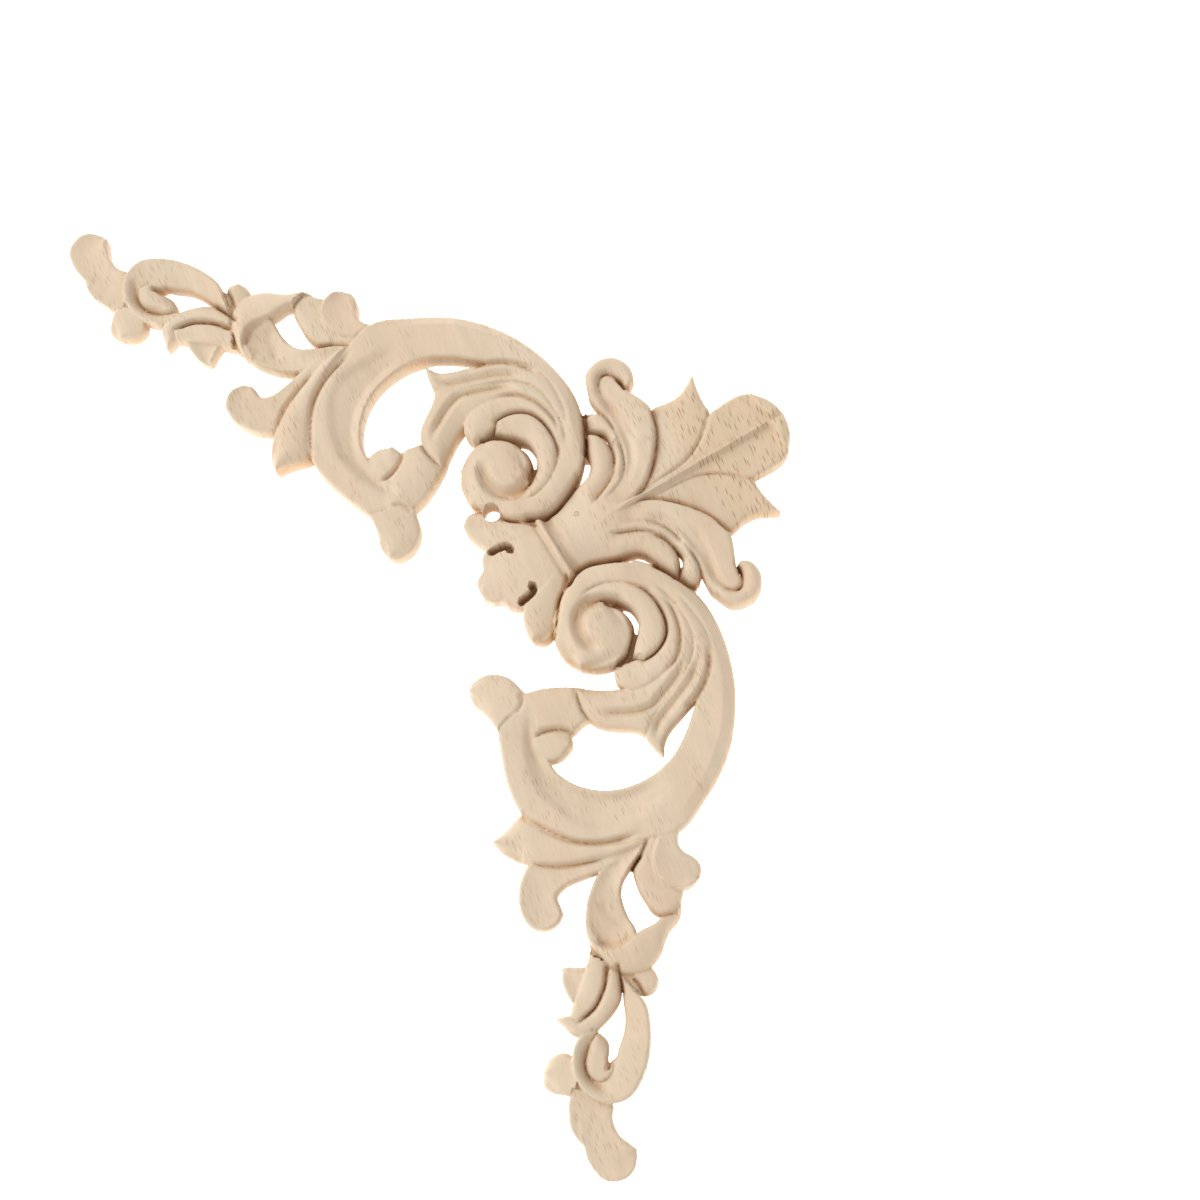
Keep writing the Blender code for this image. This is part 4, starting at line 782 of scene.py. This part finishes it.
def inside_distance(x, y, closed):
    """Distance to a closed outline, positive inside it."""
    distance = np.full(x.shape, FAR_OUTSIDE)
    box = near(x, y, closed, OPENING_MARGIN)
    ring = np.vstack([closed, closed[:1]])
    to_ring = beside(x[box], y[box], ring)[0]
    distance[box] = np.where(within(x[box], y[box], closed), to_ring, -to_ring)
    return distance


class Sheet:
    """The carved surface, cut out of the grid along the outline."""

    def __init__(self, line, height, inside, hollow, fill):
        self.line = line
        self.inside = inside
        self.fields = (height, hollow, fill)
        self.points = []
        self.known = {}
        self.faces = []
        self.rim = []

    def corner(self, i, j):
        """Number of the point at a grid corner."""
        key = (i, j)
        if key not in self.known:
            self.known[key] = len(self.points)
            self.points.append((self.line[i], self.line[j]) + tuple(f[j, i] for f in self.fields))
        return self.known[key]

    def crossing(self, i, j, k, m):
        """Number of the point where the outline crosses the grid between two corners."""
        key = (i, j, k, m) if (i, j) < (k, m) else (k, m, i, j)
        if key not in self.known:
            i, j, k, m = key
            a, b = self.inside[j, i], self.inside[m, k]
            t = min(max(a / (a - b), SLIVER), 1 - SLIVER)
            x = self.line[i] + (self.line[k] - self.line[i]) * t
            y = self.line[j] + (self.line[m] - self.line[j]) * t
            values = tuple(f[j, i] + (f[m, k] - f[j, i]) * t for f in self.fields)
            self.known[key] = len(self.points)
            self.points.append((x, y) + values)
        return self.known[key]

    def cut_cell(self, i, j):
        """The part of one cell that lies inside the outline, and its stretch of the outline."""
        ring = [(i, j), (i + 1, j), (i + 1, j + 1), (i, j + 1)]
        held = [self.inside[b, a] > 0 for a, b in ring]
        polygon = []
        for n, here in enumerate(ring):
            following = (n + 1) % len(ring)
            there = ring[following]
            if held[n]:
                polygon.append((self.corner(*here), False))
            if held[n] != held[following]:
                polygon.append((self.crossing(*here, *there), held[n]))
        loops = [polygon]
        # Wood at two opposite corners alone makes two pieces
        if held in ([True, False, True, False], [False, True, False, True]):
            shift = 2 if held[0] else 0
            turned = polygon[shift:] + polygon[:shift]
            loops = [turned[:3], turned[3:]]
        for loop_points in loops:
            self.faces.append([number for number, _ in loop_points])
            for n, (number, leaving) in enumerate(loop_points):
                if leaving:
                    self.rim.append((number, loop_points[(n + 1) % len(loop_points)][0]))

    def trace(self):
        """Make the faces of every cell that holds wood."""
        held = self.inside > 0
        count = held[:-1, :-1].astype(int) + held[1:, :-1] + held[:-1, 1:] + held[1:, 1:]
        for j, i in zip(*np.nonzero(count)):
            if count[j, i] == 4:
                self.faces.append([self.corner(i, j), self.corner(i + 1, j), self.corner(i + 1, j + 1),
                                   self.corner(i, j + 1)])
            else:
                self.cut_cell(i, j)


def carve_mesh(name, step, sanding):
    """The whole onlay as one closed mesh: carved top, upright walls and flat back."""
    sheet = Sheet(*carved_fields(step, sanding))
    sheet.trace()
    points = np.array(sheet.points)
    # The walls stand on a copy of the rim, on the back plane
    rim = sorted({p for edge in sheet.rim for p in edge})
    place = {p: n for n, p in enumerate(rim)}
    foot = points[rim].copy()
    foot[:, 2] = 0
    first_foot = len(points)
    everything = np.vstack([points, foot])
    faces = list(sheet.faces)
    for a, b in sheet.rim:
        faces.append([b, a, first_foot + place[a], first_foot + place[b]])
    mesh = bpy.data.meshes.new(name)
    mesh.from_pydata((everything[:, :3] * UNIT).tolist(), [], faces)
    shell = bmesh.new()
    shell.from_mesh(mesh)
    open_edges = [edge for edge in shell.edges if edge.is_boundary]
    bmesh.ops.triangle_fill(shell, edges=open_edges, use_beauty=True)
    bmesh.ops.recalc_face_normals(shell, faces=shell.faces)
    for face in shell.faces:
        face.smooth = True
    for edge in shell.edges:
        edge.smooth = edge.calc_face_angle(0) < SHARP_ANGLE
    shell.to_mesh(mesh)
    shell.free()
    # Mask for the painted shade of the finish: how hollow the top is, and how closed in the foot of a wall
    # is
    hollow = mesh.attributes.new("hollow", "FLOAT", "POINT")
    narrow = np.clip((everything[:, 4] - OPEN_FILL) / (NARROW_FILL - OPEN_FILL), 0, 1)
    values = np.where(np.arange(len(everything)) < first_foot, np.maximum(everything[:, 3], 0), narrow)
    hollow.data.foreach_set("value", values)
    return mesh


def new_material(name):
    """A material and its node tree."""
    material = bpy.data.materials.new(name)
    material.use_nodes = True
    return material, material.node_tree


def opaque(colour):
    """A colour with full alpha."""
    return tuple(colour) + (1,)


def add(tree, kind, inputs=None, **settings):
    """A node with its properties set, and its inputs set to values or joined to other nodes."""
    node = tree.nodes.new(kind)
    for key, value in settings.items():
        setattr(node, key, value)
    for key, value in (inputs or {}).items():
        if isinstance(value, bpy.types.NodeSocket):
            tree.links.new(value, node.inputs[key])
        else:
            node.inputs[key].default_value = value
    return node


def calculate(tree, operation, a, b):
    """One value from two."""
    return add(tree, "ShaderNodeMath", {0: a, 1: b}, operation=operation).outputs[0]


def ramp(tree, source, stops):
    """Remap a value to grey levels, given as (position, level) pairs."""
    node = add(tree, "ShaderNodeValToRGB", {"Fac": source})
    while len(node.color_ramp.elements) < len(stops):
        node.color_ramp.elements.new(0.5)
    for element, (position, level) in zip(node.color_ramp.elements, stops):
        element.position = position
        element.color = (level, level, level, 1)
    return node.outputs["Color"]


def blend(tree, share, below, above, mode="MIX"):
    """Lay one colour over another by a share."""
    layers = {0: share, 6: below, 7: above}
    return add(tree, "ShaderNodeMix", layers, data_type="RGBA", blend_type=mode).outputs[2]


def tinted(tree, tone, mask, share, colour):
    """Lay a colour over the wood where a mask shows, at most by a share."""
    return blend(tree, calculate(tree, "MULTIPLY", mask, share), tone, opaque(colour))


def millimetres(tree):
    """Place on the onlay, in the drawing's own units."""
    place = add(tree, "ShaderNodeTexCoord").outputs["Object"]
    return add(tree, "ShaderNodeVectorMath", {0: place, "Scale": 1 / UNIT}, operation="SCALE").outputs[0]


def along_grain(tree, squeeze):
    """Place on the onlay with X along the grain, squeezed along each direction."""
    turn = add(tree, "ShaderNodeMapping", {"Vector": millimetres(tree), "Rotation": (0, 0, -GRAIN_ANGLE)})
    return add(tree, "ShaderNodeMapping", {"Vector": turn.outputs[0], "Scale": squeeze}).outputs[0]


def grain_noise(tree, squeeze, stops, detail=2.0, roughness=0.5):
    """Noise drawn out along the grain, cut into grey levels."""
    inputs = {"Vector": along_grain(tree, squeeze), "Scale": 1.0, "Detail": detail, "Roughness": roughness}
    node = add(tree, "ShaderNodeTexNoise", inputs)
    return ramp(tree, node.outputs["Fac"], stops)


def outer_strip(tree):
    """1 on the strip of the glued blank that lies towards the outer corner, 0 on the rest."""
    out = add(tree, "ShaderNodeVectorMath", {0: millimetres(tree), 1: DIAGONAL}, operation="DOT_PRODUCT")
    return calculate(tree, "GREATER_THAN", out.outputs["Value"], OUTER_STRIP)


def pore_marks(tree, outer):
    """Short dashes along the grain, crowded on the outer strip and in patches elsewhere."""
    inputs = {"Vector": along_grain(tree, PORE_SQUEEZE), "Scale": 1.0}
    cells = add(tree, "ShaderNodeTexVoronoi", inputs, voronoi_dimensions="2D")
    dashes = ramp(tree, cells.outputs["Distance"], PORE_LEVELS)
    uneven = ramp(tree, cells.outputs["Color"], PORE_STRENGTHS)
    patches = grain_noise(tree, *PORE_PATCHES)
    share = calculate(tree, "MULTIPLY", uneven, calculate(tree, "MAXIMUM", patches, outer))
    return calculate(tree, "MULTIPLY", dashes, share)


def knot_mark(tree):
    """A pin knot: a dark ring with a pale middle."""
    away = add(tree, "ShaderNodeVectorMath", {0: millimetres(tree), 1: KNOT}, operation="SUBTRACT")
    flat = add(tree, "ShaderNodeVectorMath", {0: away.outputs[0], 1: (1, 1, 0)}, operation="MULTIPLY")
    distance = add(tree, "ShaderNodeVectorMath", {0: flat.outputs[0]}, operation="LENGTH").outputs["Value"]
    return ramp(tree, distance, KNOT_LEVELS)


def board_tone(tree, finish, outer):
    """Ground colour of the wood: patches, growth bands and the browner outer strip."""
    tone = blend(tree, grain_noise(tree, *WARM_PATCHES), opaque(finish.light), opaque(finish.warm))
    tone = tinted(tree, tone, outer, OUTER_SHARE, finish.outer)
    return tinted(tree, tone, grain_noise(tree, *GROWTH_BANDS), finish.ring_strength, finish.ring)


def rubberwood(finish):
    """Bare sanded wood, with pores and fibres, and painted shade, darker and browner, in its deepest cuts
    and at the feet of walls in narrow holes.
    """
    material, tree = new_material("rubberwood")
    outer = outer_strip(tree)
    fibres = grain_noise(tree, *FIBRES)
    pores = pore_marks(tree, outer)
    tone = board_tone(tree, finish, outer)
    tone = tinted(tree, tone, fibres, finish.fibre_strength, finish.dark)
    tone = tinted(tree, tone, pores, finish.pore_strength, finish.pore)
    tone = blend(tree, knot_mark(tree), tone, opaque(finish.pore))
    # Painted shade: the deep cut colour is multiplied in by how hollow the wood is, darkening and browning
    # the cuts
    hollow = add(tree, "ShaderNodeAttribute", attribute_name="hollow").outputs["Fac"]
    tone = blend(tree, ramp(tree, hollow, PAINTED_SHADE_LEVELS), tone, opaque(finish.cut), "MULTIPLY")
    grit = calculate(tree, "ADD", calculate(tree, "MULTIPLY", fibres, FIBRE_RELIEF), pores)
    relief_inputs = {"Strength": BUMP_STRENGTH, "Distance": PORE_DEPTH, "Height": grit}
    bump = add(tree, "ShaderNodeBump", relief_inputs, invert=True)
    shader = tree.nodes["Principled BSDF"]
    tree.links.new(tone, shader.inputs["Base Color"])
    tree.links.new(bump.outputs["Normal"], shader.inputs["Normal"])
    shader.inputs["Roughness"].default_value = finish.roughness
    shader.inputs["Specular IOR Level"].default_value = SHEEN
    return material


def plain_material(name, colour, roughness, glow):
    """One even colour that also gives off a little light of its own."""
    material, tree = new_material(name)
    shader = tree.nodes["Principled BSDF"]
    shader.inputs["Base Color"].default_value = opaque(colour)
    shader.inputs["Roughness"].default_value = roughness
    shader.inputs["Emission Color"].default_value = opaque(colour)
    shader.inputs["Emission Strength"].default_value = glow
    return material


# The grain runs from upper left to lower right across the onlay
GRAIN_ANGLE = math.radians(-54)

# The blank is glued up from strips: how far out along the diagonal the outer one starts, and how
# fully it takes its own tone
DIAGONAL = (math.sqrt(0.5), math.sqrt(0.5), 0)
OUTER_STRIP = 105.1
OUTER_SHARE = 0.7

# Patterns of the wood: the squeeze along and across the grain, grey levels, detail and roughness
WARM_PATCHES = ((0.014, 0.06, 0.02), ((0.42, 0.0), (0.60, 1.0)), 1.0, 0.4)
GROWTH_BANDS = ((0.05, 0.30, 0.1), ((0.40, 0.0), (0.62, 1.0)), 6.0, 0.65)
FIBRES = ((0.22, 3.2, 1.2), ((0.3, 0.0), (0.7, 1.0)), 3.0, 0.6)
PORE_PATCHES = ((0.05, 0.13, 0.1), ((0.44, 0.04), (0.62, 0.6)))

# The pores: their squeeze, how each fades from its middle, and how their strengths are spread
PORE_SQUEEZE = (0.2, 1.5, 1.0)
PORE_LEVELS = ((0.08, 1.0), (0.28, 0.0))
PORE_STRENGTHS = ((0.25, 0.1), (0.65, 1.0))

# Where the painted shade of the deep cuts starts, and where it is full
PAINTED_SHADE_LEVELS = ((0.15, 0.0), (0.9, 1.0))

# The pin knot on the stem, and its rings from the middle out
KNOT = (48.3, 54.3, 0)
KNOT_LEVELS = ((0.20, 0.35), (0.35, 0.1), (0.62, 0.8), (0.80, 0.0))

# Relief of the pores and fibres, and the sheen of the bare wood
PORE_DEPTH = 0.00015
FIBRE_RELIEF = 0.4
BUMP_STRENGTH = 0.4
SHEEN = 0.3

# Half the side of the floor, how far it lies under the onlay, and its roughness
FLOOR_REACH = 2.0
FLOOR_DROP = 0.0002
FLOOR_ROUGHNESS = 0.9

# Where the two soft lights stand, and their side
KEY_PLACE = (-1.75, 0.40, 1.50)
FRONT_PLACE = (-0.25, -2.25, 1.12)
LIGHT_SIZE = 2.0

# The camera: its place over the onlay, its turn in degrees, and its lens and sensor in millimetres
CAMERA_PLACE = (0.11576, -0.07450, 0.51839)
CAMERA_TURN = (13.157, 3.153, 14.132)
CAMERA_LENS = 63.98
CAMERA_SENSOR = 36


# The most that a fine length, a brightness and the power of a light can be set to
MOST_LENGTH = 0.002
MOST_GLOW = 5
MOST_POWER = 100


def colour_property(name, description, default):
    """A colour that the user can change."""
    return bpy.props.FloatVectorProperty(name=name, description=description, subtype="COLOR", size=3,
                                         min=0, max=1, default=default)


def number_property(name, description, default, least=0.0, most=1.0, subtype="FACTOR", unit="NONE"):
    """A number that the user can change; without more said, a share from 0 to 1."""
    return bpy.props.FloatProperty(name=name, description=description, default=default, min=least,
                                   max=most, subtype=subtype, unit=unit)


def length_property(name, description, default, least):
    """A fine length that the user can change, in metres."""
    return number_property(name, description, default, least, MOST_LENGTH, "DISTANCE", "LENGTH")


def glow_property(name, description, default):
    """A brightness that the user can change."""
    return number_property(name, description, default, most=MOST_GLOW, subtype="NONE")


def power_property(name, description, default):
    """The power of a light, in watts, that the user can change."""
    return number_property(name, description, default, most=MOST_POWER, subtype="NONE", unit="POWER")


class OnlaySizes(bpy.types.PropertyGroup):
    """How finely the onlay is carved and how far it is sanded."""
    grid: length_property("Carving step", "Spacing of the points of the carved face", 0.00037, 0.0002)
    sanding: length_property("Sanding", "How far sanding has softened the carving", 0.00012, 0.0)


class WoodFinish(bpy.types.PropertyGroup):
    """Colours and marks of the bare wood."""
    light: colour_property("Light wood", "Cream ground of the wood", (0.67, 0.54, 0.40))
    warm: colour_property("Warm wood", "Pinker strips of the blank", (0.65, 0.50, 0.36))
    outer: colour_property("Outer strip", "Browner strip towards the outer corner", (0.66, 0.49, 0.33))
    ring: colour_property("Ring", "Greyer bands of growth", (0.53, 0.45, 0.31))
    dark: colour_property("Fibre", "Thin darker fibres", (0.50, 0.36, 0.24))
    pore: colour_property("Pore", "Short dark pores", (0.34, 0.19, 0.09))
    # Deep cut: a painted shade colour, multiplied into the deepest cuts and the feet of walls in narrow
    # holes
    cut: colour_property("Deep cut", "Tint of the deepest cuts", (1.0, 0.80, 0.60))
    ring_strength: number_property("Ring strength", "How clearly the growth bands show", 0.42)
    fibre_strength: number_property("Fibre strength", "How clearly the fibres show", 0.22)
    pore_strength: number_property("Pore strength", "How dark the pores are", 0.9)
    roughness: number_property("Roughness", "Roughness of the bare wood", 0.62)


class StudioSettings(bpy.types.PropertyGroup):
    """Brightness of the floor, the surround and the two lights."""
    floor: colour_property("Floor", "Colour of the studio floor", (0.95, 0.95, 0.95))
    floor_glow: glow_property("Floor glow", "Light that the floor gives off, like a light table", 1.4)
    sky: glow_property("Surround", "Brightness of the white surround", 0.78)
    key: power_property("Key light", "Power of the large soft light", 38.0)
    front: power_property("Front light", "Power of the low light in front", 9.5)


class CarveOnlay(bpy.types.Operator):
    """Carve the whole onlay as one piece of wood."""
    bl_idname = "onlay.carve"
    bl_label = "Carve onlay"

    def execute(self, context):
        sizes = context.scene.onlay_sizes
        mesh = carve_mesh("carved_onlay", sizes.grid / UNIT, sizes.sanding / UNIT)
        onlay = bpy.data.objects.new("carved_onlay", mesh)
        context.scene.collection.objects.link(onlay)
        onlay.data.materials.append(rubberwood(context.scene.onlay_finish))
        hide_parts("corner_onlay")
        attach(onlay, "root")
        return {"FINISHED"}


def soft_light(name, place, size, power):
    """A square area light that points at the onlay."""
    data = bpy.data.lights.new(name, "AREA")
    data.shape = "SQUARE"
    data.size = size
    data.energy = power
    light = bpy.data.objects.new(name, data)
    light.location = place
    light.rotation_euler = (-Vector(place)).to_track_quat("-Z", "Y").to_euler()
    bpy.context.scene.collection.objects.link(light)


class SetStage(bpy.types.Operator):
    """Lay the studio floor, place the lights and the camera."""
    bl_idname = "onlay.set_stage"
    bl_label = "Set the stage"

    def execute(self, context):
        studio = context.scene.onlay_studio
        mesh = bpy.data.meshes.new("floor")
        flat = bmesh.new()
        bmesh.ops.create_grid(flat, x_segments=1, y_segments=1, size=FLOOR_REACH)
        flat.to_mesh(mesh)
        flat.free()
        floor = bpy.data.objects.new("floor", mesh)
        floor.location.z = -FLOOR_DROP
        paint = plain_material("studio_floor", studio.floor, FLOOR_ROUGHNESS, studio.floor_glow)
        floor.data.materials.append(paint)
        context.scene.collection.objects.link(floor)
        world = bpy.data.worlds.new("surround")
        world.use_nodes = True
        surround = world.node_tree.nodes["Background"]
        surround.inputs["Color"].default_value = (1, 1, 1, 1)
        surround.inputs["Strength"].default_value = studio.sky
        context.scene.world = world
        context.scene.view_settings.view_transform = "Standard"
        soft_light("key_light", KEY_PLACE, LIGHT_SIZE, studio.key)
        soft_light("front_light", FRONT_PLACE, LIGHT_SIZE, studio.front)
        data = bpy.data.cameras.new("camera")
        data.lens = CAMERA_LENS
        data.sensor_width = CAMERA_SENSOR
        camera = bpy.data.objects.new("camera", data)
        camera.location = CAMERA_PLACE
        camera.rotation_euler = [math.radians(a) for a in CAMERA_TURN]
        context.scene.collection.objects.link(camera)
        context.scene.camera = camera
        return {"FINISHED"}


class OnlayPanel(bpy.types.Panel):
    """Sizes, finish and steps of the onlay."""
    bl_idname = "VIEW3D_PT_onlay"
    bl_label = "Corner onlay"
    bl_space_type = "VIEW_3D"
    bl_region_type = "UI"
    bl_category = "Onlay"

    def draw(self, context):
        scene = context.scene
        for group in (scene.onlay_sizes, scene.onlay_finish, scene.onlay_studio):
            box = self.layout.box()
            for name in group.__annotations__:
                box.prop(group, name)
        for operator in (CarveOnlay, SetStage):
            self.layout.operator(operator.bl_idname)


CLASSES = (OnlaySizes, WoodFinish, StudioSettings, CarveOnlay, SetStage, OnlayPanel)
GROUPS = (("onlay_sizes", OnlaySizes), ("onlay_finish", WoodFinish), ("onlay_studio", StudioSettings))


def register():
    """Add the classes, and a group of settings for each of sizes, finish and studio."""
    for item in CLASSES:
        bpy.utils.register_class(item)
    for name, group in GROUPS:
        setattr(bpy.types.Scene, name, bpy.props.PointerProperty(type=group))


def unregister():
    """Take away what register added."""
    for name, _ in GROUPS:
        delattr(bpy.types.Scene, name)
    for item in reversed(CLASSES):
        bpy.utils.unregister_class(item)


def main():
    """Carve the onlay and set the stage."""
    register()
    bpy.ops.onlay.carve()
    bpy.ops.onlay.set_stage()
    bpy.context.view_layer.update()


if __name__ == "__main__":
    main()
